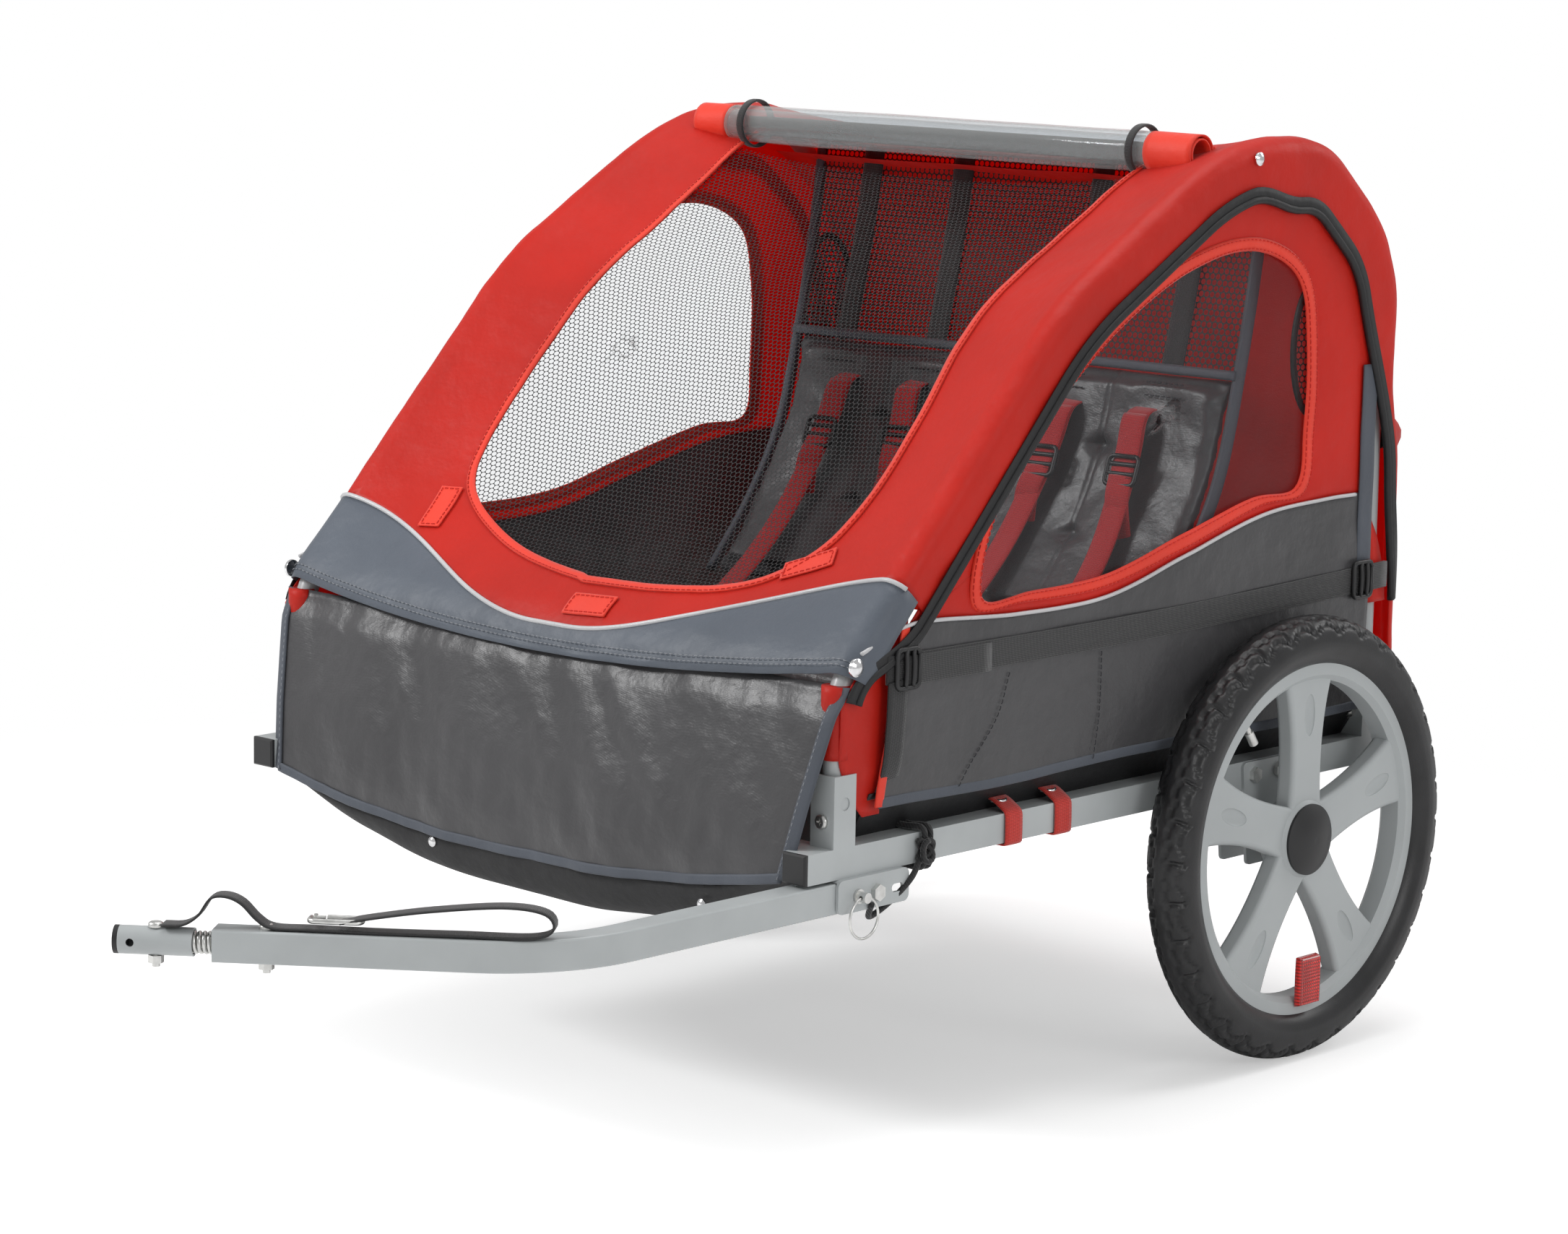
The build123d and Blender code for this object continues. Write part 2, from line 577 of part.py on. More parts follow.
# ---------------------------------------------------------------- fabric
def canopy_line(distance):
    """Side view of the canopy at a distance outside the hoop axis."""
    corners = [(HOOP_FRONT, HEM_Z - 60)] + CANOPY_CORNERS + [(212, CANOPY_REAR_Z - 60)]
    bends = [bend + distance for bend in CANOPY_BENDS]
    return FilletPolyline(*offset_corners(corners, distance), radius=bends)


def waist_line():
    """Curve where the red upper side meets the grey side panel, in (y, z)."""
    front = [(-548, 424), (-484, 442), (-358, 436), (-235, 438)]
    rear = [(-126, 464), (-20, 488), (73, 494), (146, 494)]
    return Spline(*front, *rear)


def window_face(inset):
    """Side window outline in (y, z): arched, with a slanted front and an upright rear edge."""
    middle = Vector(-170, 590)
    sill = [(-405, 452), (-340, 449), (-235, 452), (-130, 476), (-30, 500), (36, 506)]
    arch = [(36, 506), (46, 560), (46, 640), (28, 700), (-40, 728), (-130, 716), (-225, 674), (-320, 602),
            (-386, 530), (-405, 452)]
    lines = []
    for points in (sill, arch):
        moved = [Vector(*point) + (middle - Vector(*point)).normalized() * inset for point in points]
        lines.append(Spline(*moved).edge())
    return make_face(lines)


def front_opening(inset):
    """Prism that cuts the front opening: round at the bottom, straight at the roof."""
    width = 235 - inset
    line = Spline((width, 660), (width + 8, 560), (200 - inset, 482 + inset), (90, 455 + inset), (-90, 455 + inset),
                  (-200 + inset, 482 + inset), (-width - 8, 560), (-width, 660))
    top = Polyline(line @ 1, (-width, 900), (width, 900), line @ 0)
    face = make_face([line.edge()] + list(top.edges()))
    plane = Plane(origin=(0, -42, 0), x_dir=(1, 0, 0), z_dir=(0, -1, 0))
    return extrude(plane * face, 600, dir=(0, -1, 0))


def canopy():
    """Fabric cover with side walls, cut for the front opening, the roll and two windows."""
    outer_x = SIDE_X + FABRIC - GAP
    shape = side_view(curve_face(canopy_line(FABRIC_INNER + FABRIC)), -outer_x, outer_x)
    shape -= side_view(curve_face(canopy_line(FABRIC_INNER)), -SIDE_X, SIDE_X)
    shape -= box((-400, -620, 200), (400, -545, HEM_Z))
    shape -= box((-400, -545, 200), (400, 400, CANOPY_REAR_Z))
    waist = waist_line()
    below = Polyline(waist @ 1, (146, 250), (-548, 250), waist @ 0)
    shape -= side_view(make_face([waist.edge()] + list(below.edges())), -400, 400)
    shape -= front_opening(0)
    shape -= box((-304, -98, 700), (304, -42, 900))
    for low in (SIDE_X - 5, -SIDE_X - 15):
        shape -= side_view(window_face(0), low, low + 20)
    return max(shape.solids(), key=lambda solid: solid.volume)


def front_screen():
    """Mesh screen across the front opening."""
    width = 600
    shape = side_view(curve_face(canopy_line(FABRIC_INNER + 2.5)), -width / 2, width / 2)
    shape -= side_view(curve_face(canopy_line(FABRIC_INNER + 1)), -width / 2 - 1, width / 2 + 1)
    shape &= front_opening(1.5)
    shape -= box((-400, -104, 600), (400, 0, 900))
    return max(shape.solids(), key=lambda solid: solid.volume)


def side_windows():
    pane = side_view(window_face(1.5), SIDE_X + 1, SIDE_X + 2.4)
    return both_sides(pane)


def side_panel():
    """Grey lower side panel between the waist curve and its bottom hem."""
    waist = Pos(0, -1.0) * waist_line()
    hem = Polyline(waist @ 1, (146, 330), (136, 294), (-510, 294), (-540, 330), waist @ 0)
    return side_view(make_face([waist.edge()] + list(hem.edges())), SIDE_X, SIDE_X + FABRIC - GAP)


def front_panel():
    """Slanted front panel, narrower at the bottom where it meets the floor."""
    sheet = sheet_face([(-603, 242), (-592, 300), (-580, 352), (-574.5, HEM_Z - 2)], -FABRIC)
    shape = side_view(sheet, -340, 340)
    plane = Plane(origin=(0, -500, 0), x_dir=(1, 0, 0), z_dir=(0, -1, 0))
    trim = Polygon((-306, 230), (306, 230), (331, 400), (-331, 400), align=None)
    return shape & extrude(plane * trim, 150, dir=(0, -1, 0))


def floor_pan():
    """Fabric floor with a sagging foot well at the front."""
    foot_well = [(-599, 236), (-560, 176), (-470, 158), (-390, 172), (-310, 232)]
    line = foot_well + [(-262, 261), (-150, 264), (0, 264), (150, 264)]
    return side_view(sheet_face(line, 3), -306, 306)


def seat_base():
    """Padded seat cushion on its sling."""
    return fillet(box((-SEAT_HALF, -335, 322), (SEAT_HALF, -118, 350)).edges(), 9)


SEAT_BACK_LINE = [(-98, 372), (-42, 440), (0, 512), (26, 610), (44, 700), (52, 752)]


def seat_back():
    """Padded back that hangs from the roof behind the seat cushion."""
    return side_view(sheet_face(SEAT_BACK_LINE, -18), -SEAT_HALF, SEAT_HALF)


HARNESS_X = (-180, -95, 95, 180)


def harness_straps():
    """Shoulder webbing in front of the seat back, two for each child."""
    line = offset_corners(SEAT_BACK_LINE[:4], 3)
    face = sheet_face(line, WEBBING_THICK)
    return group(*[side_view(face, x - WEBBING / 2, x + WEBBING / 2) for x in HARNESS_X])


def strap_buckles():
    """Ladder-lock buckles: four on the harness and two on each side belt."""
    shapes = []
    for x in HARNESS_X:
        frame_plate = box((x - 17, -34, 520), (x + 17, -30, 552))
        window = box((x - 13, -40, 524), (x + 13, -20, 532)) + box((x - 13, -40, 540), (x + 13, -20, 548))
        shapes.append(frame_plate - window)
    for side in SIDES:
        for y in (-500, 112):
            low_x, high_x = sorted((side * (SIDE_X + 6.8), side * (SIDE_X + 9.8)))
            plate = box((low_x, y, 392), (high_x, y + 26, 424))
            front_window = box((-400, y + 4, 396), (400, y + 10, 420))
            window = front_window + front_window.moved(Location((0, 12, 0)))
            shapes.append(plate - window)
    return group(*shapes)


def side_belt():
    """Black webbing belt along a side, just above the wheel."""
    low = (SIDE_X + 4.6, -524, 396)
    return box(low, (low[0] + WEBBING_THICK, 168, 396 + WEBBING - 2))


def rail_strap(y):
    """Webbing loop round a rail, with its tail going in under the floor's edge."""
    half = TUBE / 2 + GAP
    outer = half + WEBBING_THICK
    loop = box((RAIL_X - outer, y - 14, RAIL_Z - outer), (RAIL_X + outer, y + 14, RAIL_Z + outer))
    return loop - box((RAIL_X - half, y - 15, RAIL_Z - half), (RAIL_X + half, y + 15, RAIL_Z + half))


def strap_grommet(y):
    """Chrome eyelet above a rail loop."""
    ring = Pos(RAIL_X - 4, y, RAIL_Z + TUBE / 2 + 8) * Torus(7, 1.6)
    return ring


def rain_cover_roll():
    """Rolled clear rain cover lying across the roof's front edge."""
    return bar((-300, -70, 806), (300, -70, 806), 20) - bar((-301, -70, 806), (301, -70, 806), 14)


def cover_loop(x):
    """Elastic loop that holds the roll."""
    ring = bar((x - 5, -70, 806), (x + 5, -70, 806), 22)
    return ring - bar((x - 6, -70, 806), (x + 6, -70, 806), 20.4)


def dome_snap(point, direction, radius):
    """Round snap fastener cap on a fabric face."""
    point = Vector(*point)
    cap = bar(point, point + Vector(*direction) * (radius * 0.55), radius)
    far = cap.faces().sort_by(Axis(point, direction))[-1]
    return fillet(far.edges(), radius * 0.36)


def dome_snaps():
    """Snaps at the canopy's front corners, on its roof edges and under the front panel."""
    corner = dome_snap((SIDE_X + 4.2, -556, 414), (1, 0, 0), 6.5)
    roof = dome_snap((SIDE_X + 4.2, -45, 803), (1, 0, 0), 4.8)
    shapes = [both_sides(corner), both_sides(roof)]
    for x in (-107, 218):
        shapes.append(dome_snap((x, -600.5, 206), (0, -1, 0), 3.8))
    return group(*shapes)


# ---------------------------------------------------------------- write every node
def main():
    rail = left_rail()
    save(rail, "left_rail")
    save(mirror(rail, about=Plane.YZ), "right_rail")
    save(cross_tube(-575), "front_cross_tube")
    save(cross_tube(HOOP_REAR + 5.3), "rear_cross_tube")
    save(both_sides(group(rail_plug(RAIL_FRONT, -1), rail_plug(RAIL_REAR, 1))), "rail_end_plugs")
    save(both_sides(group(hoop_socket(HOOP_FRONT), hoop_socket(HOOP_REAR))), "hoop_sockets")
    save(both_sides(group(socket_bolt(HOOP_FRONT, -1), socket_bolt(HOOP_REAR, 1))), "socket_bolts")
    save(arm_bracket(), "arm_bracket")
    save(arm_pivot_bolt(), "arm_pivot_bolt")
    save(both_sides(axle_carrier()), "axle_carriers")
    save(both_sides(carrier_bolts()), "carrier_bolts")
    save(both_sides(wheel_axle()), "wheel_axles")
    save(both_sides(axle_nut()), "axle_nuts")

    for build in (rim, tyre, inner_tube, hub_bearings, hub_cap, reflector, valve):
        shape = build()
        save(shape, f"left_{build.__name__}")
        save(mirror(shape, about=Plane.YZ), f"right_{build.__name__}")

    hoop = left_hoop()
    save(hoop, "left_hoop")
    save(mirror(hoop, about=Plane.YZ), "right_hoop")
    save(rear_crossbar(), "rear_crossbar")
    save(both_sides(crossbar_cap()), "crossbar_caps")

    save(tow_arm_tube(), "tow_arm_tube")
    save(upright_bolt(-40, TUBE / 2), "arm_end_bolt")
    save(coupling_spring(), "coupling_spring")
    save(coupler_tube(), "coupler_tube")
    save(coupler_plug(), "coupler_plug")
    save(upright_bolt(SPRING_GAP + 30, COUPLER_RADIUS), "coupler_bolt")
    save(safety_strap(), "safety_strap")
    save(snap_hook(), "snap_hook")
    save(snap_gate(), "snap_gate")
    save(lock_pin(), "lock_pin")
    save(pin_ring(), "pin_ring")
    save(pin_tether(), "pin_tether")

    save(canopy(), "canopy")
    save(front_screen(), "front_screen")
    save(side_windows(), "side_windows")
    panel = side_panel()
    save(panel, "left_side_panel")
    save(mirror(panel, about=Plane.YZ), "right_side_panel")
    save(front_panel(), "front_panel")
    save(floor_pan(), "floor_pan")
    save(seat_base(), "seat_base")
    save(seat_back(), "seat_back")
    save(harness_straps(), "harness_straps")
    save(strap_buckles(), "strap_buckles")
    save(both_sides(side_belt()), "side_belts")
    save(both_sides(group(rail_strap(-350), rail_strap(-285))), "rail_straps")
    save(both_sides(group(strap_grommet(-350), strap_grommet(-285))), "strap_grommets")
    save(rain_cover_roll(), "rain_cover_roll")
    save(both_sides(cover_loop(235)), "cover_loops")
    save(dome_snaps(), "dome_snaps")


main()
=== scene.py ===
import math

import bmesh
import bpy
import numpy as np
from mathutils import Matrix, Vector, noise


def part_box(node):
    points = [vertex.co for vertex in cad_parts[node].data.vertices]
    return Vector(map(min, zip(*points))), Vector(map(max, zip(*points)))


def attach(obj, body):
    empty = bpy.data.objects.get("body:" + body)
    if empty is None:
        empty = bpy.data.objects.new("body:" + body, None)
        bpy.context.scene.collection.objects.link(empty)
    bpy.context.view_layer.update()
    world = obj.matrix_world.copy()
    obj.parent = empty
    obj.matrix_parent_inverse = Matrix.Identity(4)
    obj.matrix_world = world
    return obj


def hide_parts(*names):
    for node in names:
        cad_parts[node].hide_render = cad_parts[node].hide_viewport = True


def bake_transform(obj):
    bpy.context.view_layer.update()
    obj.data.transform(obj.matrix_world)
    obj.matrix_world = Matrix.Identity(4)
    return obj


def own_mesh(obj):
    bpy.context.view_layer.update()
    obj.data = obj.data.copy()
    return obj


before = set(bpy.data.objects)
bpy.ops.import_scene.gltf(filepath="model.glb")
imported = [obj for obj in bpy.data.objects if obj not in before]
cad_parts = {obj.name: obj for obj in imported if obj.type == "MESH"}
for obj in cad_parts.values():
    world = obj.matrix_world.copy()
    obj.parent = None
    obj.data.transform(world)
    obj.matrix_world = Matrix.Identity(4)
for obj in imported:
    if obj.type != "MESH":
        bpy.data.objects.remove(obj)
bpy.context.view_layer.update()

# Everything below is drawn with y = 0 at the wheel axles, and moved back to the frame's origin here.
AXLE_Y = sum(corner[1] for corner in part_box("left_tyre")) / 2

# ------------------------------------------------------------------ sizes, in metres
HOOP_X = 0.3253
SKIN = 0.0140             # canopy fabric outside the hoop's axis
FLAT_X = .3253            # half width of the part between the hoops
SIDE_OUT = .3421          # outside of the flanges over the hoops
CANOPY_CORNERS = [(-.560, .300), (-.560, .395), (-.290, .682), (-.070, .806), (.060, .806), (.152, .728),
                  (.212, .530), (.212, .240)]
CANOPY_BENDS = [.080, .350, .260, .100, .140, .180]
REAR_TUCK = .031          # how far the rear edges stay ahead of the middle
SAG = .036                # how far the roof sinks between the hoops
WHEEL_X, WHEEL_Z = .377, .200
RAIL_Z, RAIL_HALF = .2539, .0127
SIDE_X = .3405
# Fold settings, which crumple doesn't use: the height pieces would sink towards, and the share of their
# height they would keep.
CANOPY_FOLD = {"anchor": .300, "keep": .3}
SEAT_FOLD = {"anchor": .33, "keep": .24}
FRONT_FOLD = {"anchor": .242, "keep": .3}
SKIRT_FOLD = {"anchor": .262, "keep": .3}
FINE = .00001             # vertices closer than this are the same vertex
CLOTH = .0011             # thickness of the side fabric
BELT_WIDTH = .024         # black belts
HARNESS_WIDTH = .025      # red harness straps and head webbing


# ------------------------------------------------------------------ small maths
def smooth(low, high, value):
    """0 below low, 1 above high, with an S-curve between."""
    t = np.clip((value - low) / (high - low), 0, 1)
    return t * t * (3 - 2 * t)


def arc_polyline(corners, bends, step=.004):
    """Points along straight lines joined by arcs."""
    points = []
    corners = [np.array(c, float) for c in corners]
    cursor = corners[0]
    for index in range(1, len(corners) - 1):
        before, corner, after = corners[index - 1:index + 2]
        first = (corner - before) / np.linalg.norm(corner - before)
        second = (after - corner) / np.linalg.norm(after - corner)
        turn = math.acos(max(-1, min(1, first @ second)))
        reach = bends[index - 1] * math.tan(turn / 2)
        start = corner - first * reach
        count = max(2, int(np.linalg.norm(start - cursor) / step))
        points += [cursor + (start - cursor) * k / count for k in range(count)]
        normal = np.array([-first[1], first[0]])
        if normal @ second < 0:
            normal = -normal
        centre = start + normal * bends[index - 1]
        count = max(3, int(turn * bends[index - 1] / step))
        for k in range(count):
            angle = turn * k / count
            points.append(centre + bends[index - 1] * (first * math.sin(angle) - normal * math.cos(angle)))
        cursor = corner + second * reach
    count = max(2, int(np.linalg.norm(corners[-1] - cursor) / step))
    points += [cursor + (corners[-1] - cursor) * k / count for k in range(count + 1)]
    return np.array(points)


def spline(points, count):
    """Centripetal-like smooth curve through points, sampled evenly by length."""
    points = np.array(points, float)
    padded = np.vstack([2 * points[0] - points[1], points, 2 * points[-1] - points[-2]])
    fine = []
    for i in range(1, len(padded) - 2):
        p0, p1, p2, p3 = padded[i - 1:i + 3]
        for t in np.linspace(0, 1, 24, endpoint=False):
            fine.append(.5 * (2 * p1 + (p2 - p0) * t + (2 * p0 - 5 * p1 + 4 * p2 - p3) * t ** 2
                              + (3 * p1 - p0 - 3 * p2 + p3) * t ** 3))
    fine.append(points[-1])
    return resample(np.array(fine), count)


def resample(points, count):
    """The same line with evenly spaced points."""
    length = np.concatenate([[0], np.cumsum(np.linalg.norm(np.diff(points, axis=0), axis=1))])
    even = np.linspace(0, length[-1], count)
    return np.stack([np.interp(even, length, points[:, k]) for k in range(points.shape[1])], 1)


def ripple(x, y, z, scale, seed=0):
    """Smooth noise between about -1 and 1."""
    return noise.noise(Vector((x * scale + seed * 7.1, y * scale - seed * 3.3, z * scale + seed * 1.7)))


# ------------------------------------------------------------------ canopy surface
class Profile:
    """Side view of the canopy by length s from the bottom of the front."""

    def __init__(self):
        self.p = arc_polyline(CANOPY_CORNERS, CANOPY_BENDS)
        steps = np.linalg.norm(np.diff(self.p, axis=0), axis=1)
        self.s = np.concatenate([[0], np.cumsum(steps)])
        tangent = np.gradient(self.p, axis=0)
        tangent /= np.linalg.norm(tangent, axis=1)[:, None]
        self.n = np.stack([-tangent[:, 1], tangent[:, 0]], 1)
        self.length = self.s[-1]

    def at(self, s):
        y, z = (np.interp(s, self.s, self.p[:, k]) for k in (0, 1))
        ny, nz = (np.interp(s, self.s, self.n[:, k]) for k in (0, 1))
        return y, z, ny, nz

    def s_front(self, z):
        """Length where the front slope reaches a height, on the fabric's outside."""
        front = self.s < self.s_top()
        height = self.p[front, 1] + self.n[front, 1] * SKIN
        return float(np.interp(z, height, self.s[front]))

    def s_top(self):
        return float(self.s[np.argmax(self.p[:, 1] + .0001 * (self.p[:, 0] < 0))])

    def s_rear(self, z):
        rear = self.s > self.s_top() + .1
        return float(np.interp(-z, -self.p[rear, 1], self.s[rear]))

    def s_of_y(self, y):
        front = (self.s < self.s_top() + .2)
        return float(np.interp(y, self.p[front, 0], self.s[front]))


PROFILE = Profile()


def canopy_point(s, w, lift=0.0):
    """Point on the canopy at length s and crossways distance w from the middle."""
    y, z, ny, nz = PROFILE.at(s)
    side = math.copysign(1, w)
    a = abs(w)
    arc = SKIN * math.pi / 2
    if a <= FLAT_X:
        depth = float(smooth(PROFILE.s_front(.40), PROFILE.s_front(.52), s))
        depth *= 1 - .45 * float(smooth(PROFILE.s_of_y(-.15), PROFILE.s_of_y(.05), s))
        depth *= 1 - float(smooth(.740, .640, z) * (y > 0))
        n = SKIN - SAG * depth * (1 - (a / FLAT_X) ** 3)
        x = w
    elif a <= FLAT_X + arc:
        angle = (a - FLAT_X) / SKIN
        x = side * (FLAT_X + (SIDE_OUT - FLAT_X) * math.sin(angle))
        n = SKIN * math.cos(angle)
    else:
        x = side * SIDE_OUT
        n = -(a - FLAT_X - arc)
    n += lift if a <= FLAT_X else lift * max(0.0, math.cos(min((a - FLAT_X) / SKIN, math.pi / 2)))
    if a > FLAT_X:
        x += side * lift * min(1.0, (a - FLAT_X) / arc)
    y += ny * n
    over_bar = math.exp(-((z - .540) / .017) ** 2) * float(smooth(.335, .319, a))
    y -= REAR_TUCK * float(smooth(.69, .56, z) * (y > 0) * smooth(.300, FLAT_X, a)) * (1 - over_bar)
    return np.array([x, y, z + nz * n])


def flange(s):
    """How far the canopy reaches down the side, from the hoop's axis to the black piping."""
    y = PROFILE.at(s)[0]
    front = .030 * smooth(PROFILE.s_front(.385), PROFILE.s_front(.47), s) + .004
    rear = smooth(-.06, .02, y) * .016 - (y > 0) * .035 * smooth(.69, .56, PROFILE.at(s)[1])
    low = smooth(.52, .38, PROFILE.at(s)[1]) * .013 if y > 0 else 0
    return float(front + rear - low)


# ------------------------------------------------------------------ materials
class Tree:
    """A node tree with short names for the nodes used here."""

    def __init__(self, owner):
        owner.use_nodes = True
        self.nodes, self.links = owner.node_tree.nodes, owner.node_tree.links

    def node(self, kind):
        return self.nodes.new("ShaderNode" + kind)

    def link(self, output, target):
        self.links.new(output, target)

    def coords(self):
        return self.node("TexCoord").outputs["Object"]

    def noise(self, coords, scale, detail=4.0):
        node = self.node("TexNoise")
        node.inputs["Scale"].default_value = scale
        node.inputs["Detail"].default_value = detail
        self.link(coords, node.inputs["Vector"])
        return node.outputs["Fac"]

    def ramp(self, value, low, high, start=0.3, end=0.7):
        node = self.node("ValToRGB")
        for element, place, color in zip(node.color_ramp.elements, (start, end), (low, high)):
            element.position = place
            element.color = (*color, 1)
        self.link(value, node.inputs["Fac"])
        return node.outputs["Color"]

    def math(self, operation, first, second):
        node = self.node("Math")
        node.operation = operation
        for socket, value in zip(node.inputs, (first, second)):
            if isinstance(value, (int, float)):
                socket.default_value = value
            else:
                self.link(value, socket)
        return node.outputs[0]

    def vector(self, operation, first, second=None):
        node = self.node("VectorMath")
        node.operation = operation
        self.link(first, node.inputs[0])
        if second is not None:
            node.inputs[1].default_value = second
        return node.outputs["Value" if operation == "LENGTH" else 0]

    def wave(self, coords, scale, direction, kind="SIN", distortion=.4):
        node = self.node("TexWave")
        node.wave_type = "BANDS"
        node.bands_direction = direction
        node.wave_profile = kind
        node.inputs["Scale"].default_value = scale
        node.inputs["Distortion"].default_value = distortion
        node.inputs["Detail Scale"].default_value = 2.0
        self.link(coords, node.inputs["Vector"])
        return node.outputs["Fac"]

    def scaled(self, coords, scale):
        node = self.node("Mapping")
        node.inputs["Scale"].default_value = scale
        self.link(coords, node.inputs["Vector"])
        return node.outputs["Vector"]

    def mixed(self, factor, first, second):
        node = self.node("MixShader")
        if isinstance(factor, float):
            node.inputs["Fac"].default_value = factor
        else:
            self.link(factor, node.inputs["Fac"])
        self.link(first.outputs[0], node.inputs[1])
        self.link(second.outputs[0], node.inputs[2])
        self.link(node.outputs[0], self.nodes["Material Output"].inputs["Surface"])


class Coat(Tree):
    """A new material and its main shader."""

    def __init__(self, name, base, rough=.6, metal=0.0, sheen=0.0):
        self.material = bpy.data.materials.new(name)
        super().__init__(self.material)
        self.shader = self.nodes["Principled BSDF"]
        self.put("Base Color", (*base, 1))
        self.put("Roughness", rough)
        self.put("Metallic", metal)
        if sheen:
            self.put("Sheen Weight", sheen)
            self.put("Sheen Roughness", .4)

    def put(self, name, value):
        self.shader.inputs[name].default_value = value

    def feed(self, name, output):
        self.link(output, self.shader.inputs[name])

    def shade(self, value, color, dark, light, start=0.3, end=0.7):
        """Base colour that runs between two tints of one colour."""
        self.feed("Base Color", self.ramp(value, tint(color, dark), tint(color, light), start, end))

    def gloss(self, value, spread, base):
        self.feed("Roughness", self.math("ADD", self.math("MULTIPLY", value, spread), base))

    def bump(self, height, strength, distance, under=None):
        node = self.node("Bump")
        node.inputs["Strength"].default_value = strength
        node.inputs["Distance"].default_value = distance
        self.link(height, node.inputs["Height"])
        if under is not None:
            self.link(under, node.inputs["Normal"])
        self.feed("Normal", node.outputs["Normal"])
        return node.outputs["Normal"]


def tint(color, factor):
    return tuple(min(1, c * factor) for c in color)


def nylon(name, color, rough=.48, thread=520.0, sheen=.10, crinkle=.55, through=0.0):
    """Coated plain-weave nylon: fine threads both ways, soft crinkles and faint shade changes."""
    m = Coat(name, color, rough, sheen=sheen)
    coords = m.coords()
    m.shade(m.noise(coords, 7.0), color, .86, 1.1)
    warp, weft, rows = (m.wave(coords, thread, axis) for axis in "XZY")
    fine = m.bump(m.math("ADD", m.math("MULTIPLY", warp, weft), rows), .10, .0003)
    m.bump(m.noise(coords, 34.0, 5.0), crinkle, .0042, fine)
    m.gloss(m.noise(coords, 90.0, 3.0), .16, rough - .08)
    if through:
        glow = m.node("BsdfTranslucent")
        glow.inputs["Color"].default_value = (*tint(color, 1.9), 1)
        m.mixed(through, m.shader, glow)
    return m.material


def webbing(name, color, scale=260.0, sheen=.35):
    """Ribbed woven strap, with painted shade in the grooves and painted highlight on the ribs."""
    m = Coat(name, color, .62, sheen=sheen)
    coords = m.node("UVMap").outputs["UV"]
    rib = m.wave(coords, scale, "X", distortion=.3)
    cross = m.wave(coords, scale * .8, "Y", distortion=.3)
    rib_relief_and_shade = m.math("MULTIPLY", rib, m.math("ADD", cross, .35))
    # Painted shade and highlight: the colour runs darker in the rib grooves and lighter on the ridges,
    # following the bump's height.
    m.shade(rib_relief_and_shade, color, .55, 1.25, .05, .9)
    m.bump(rib_relief_and_shade, .55, .0006)
    return m.material


def plain_webbing(name, color):
    """Ribbed strap for parts without texture coordinates, with painted shade in the grooves and painted
    highlight on the ribs.
    """
    m = Coat(name, color, .65, sheen=.35)
    rib = m.wave(m.coords(), 180.0, "DIAGONAL", distortion=.4)
    # Painted shade and highlight: the colour runs darker in the rib grooves and lighter on the ridges,
    # following the bump's height.
    m.shade(rib, color, .6, 1.2, .1, .9)
    m.bump(rib, .5, .0005)
    return m.material


def net(name, color, cell, wire):
    """Hexagonal net: opaque threads round open cells."""
    m = Coat(name, color, .7)
    tall = 1.732          # height of a cell's repeat against its width
    coords = m.scaled(m.node("UVMap").outputs["UV"], (1 / cell, 1 / (cell * tall), 1))
    distances = []
    for shift in ((0, 0, 0), (.5, .5, 0)):
        cells = m.vector("FRACTION", m.vector("ADD", coords, shift))
        centred = m.vector("SUBTRACT", cells, (.5, .5, 0))
        distances.append(m.vector("LENGTH", m.vector("MULTIPLY", centred, (1, tall, 0))))
    nearest = m.math("MINIMUM", *distances)
    m.mixed(m.math("GREATER_THAN", nearest, .5 - wire), m.node("BsdfTransparent"), m.shader)
    return m.material


def vinyl(name, tone=(.25, .26, .27), haze=.06, stretch=1.0):
    """Clear flexible sheet: mostly see-through, with glossy highlights and a wavy surface."""
    m = Coat(name, tone, .08)
    wave = m.noise(m.scaled(m.coords(), (1 / stretch, stretch, stretch)), 11.0, 2.0)
    m.put("Specular IOR Level", .8)
    facing = m.node("LayerWeight")
    facing.inputs["Blend"].default_value = .5
    m.link(m.bump(wave, .55, .008), facing.inputs["Normal"])
    grazing = m.math("POWER", facing.outputs["Facing"], 3.0)
    clear = m.node("BsdfTransparent")
    clear.inputs["Color"].default_value = (.95, .96, .97, 1)
    m.mixed(m.math("ADD", m.math("MULTIPLY", grazing, .5), haze), clear, m.shader)
    return m.material


def paint(name, color, rough=.34):
    """Powder-coated steel: fine orange peel, slight wear in the gloss."""
    m = Coat(name, color, rough)
    m.put("Coat Weight", .25)
    m.put("Coat Roughness", .25)
    coords = m.coords()
    m.shade(m.noise(coords, 16.0, 6.0), color, .93, 1.05)
    m.gloss(m.noise(coords, 60.0, 8.0), .22, rough - .08)
    m.bump(m.noise(coords, 900.0, 2.0), .10, .0004)
    return m.material


def steel(name, color, rough, grain=0.0):
    """Plated metal with fine brushing."""
    m = Coat(name, color, rough, metal=1.0)
    coords = m.coords()
    stain = m.noise(coords, 120.0, 6.0)
    m.shade(stain, color, .8, 1.1)
    m.gloss(stain, .2, rough)
    if grain:
        m.bump(m.noise(coords, 1500.0, 2.0), grain, .0003)
    return m.material


def plastic(name, color, rough=.5, grain=.15):
    """Moulded plastic with a fine etched texture."""
    m = Coat(name, color, rough)
    coords = m.coords()
    m.shade(m.noise(coords, 12.0), color, .95, 1.04)
    m.bump(m.noise(coords, 1400.0, 2.0), grain, .0004)
    return m.material


def rubber(name, color):
    """Tyre rubber, dusty in places."""
    m = Coat(name, color, .38)
    coords = m.coords()
    m.shade(m.noise(coords, 40.0, 6.0), color, .8, 1.6, .35, .8)
    m.bump(m.noise(coords, 700.0, 3.0), .2, .0006)
    return m.material


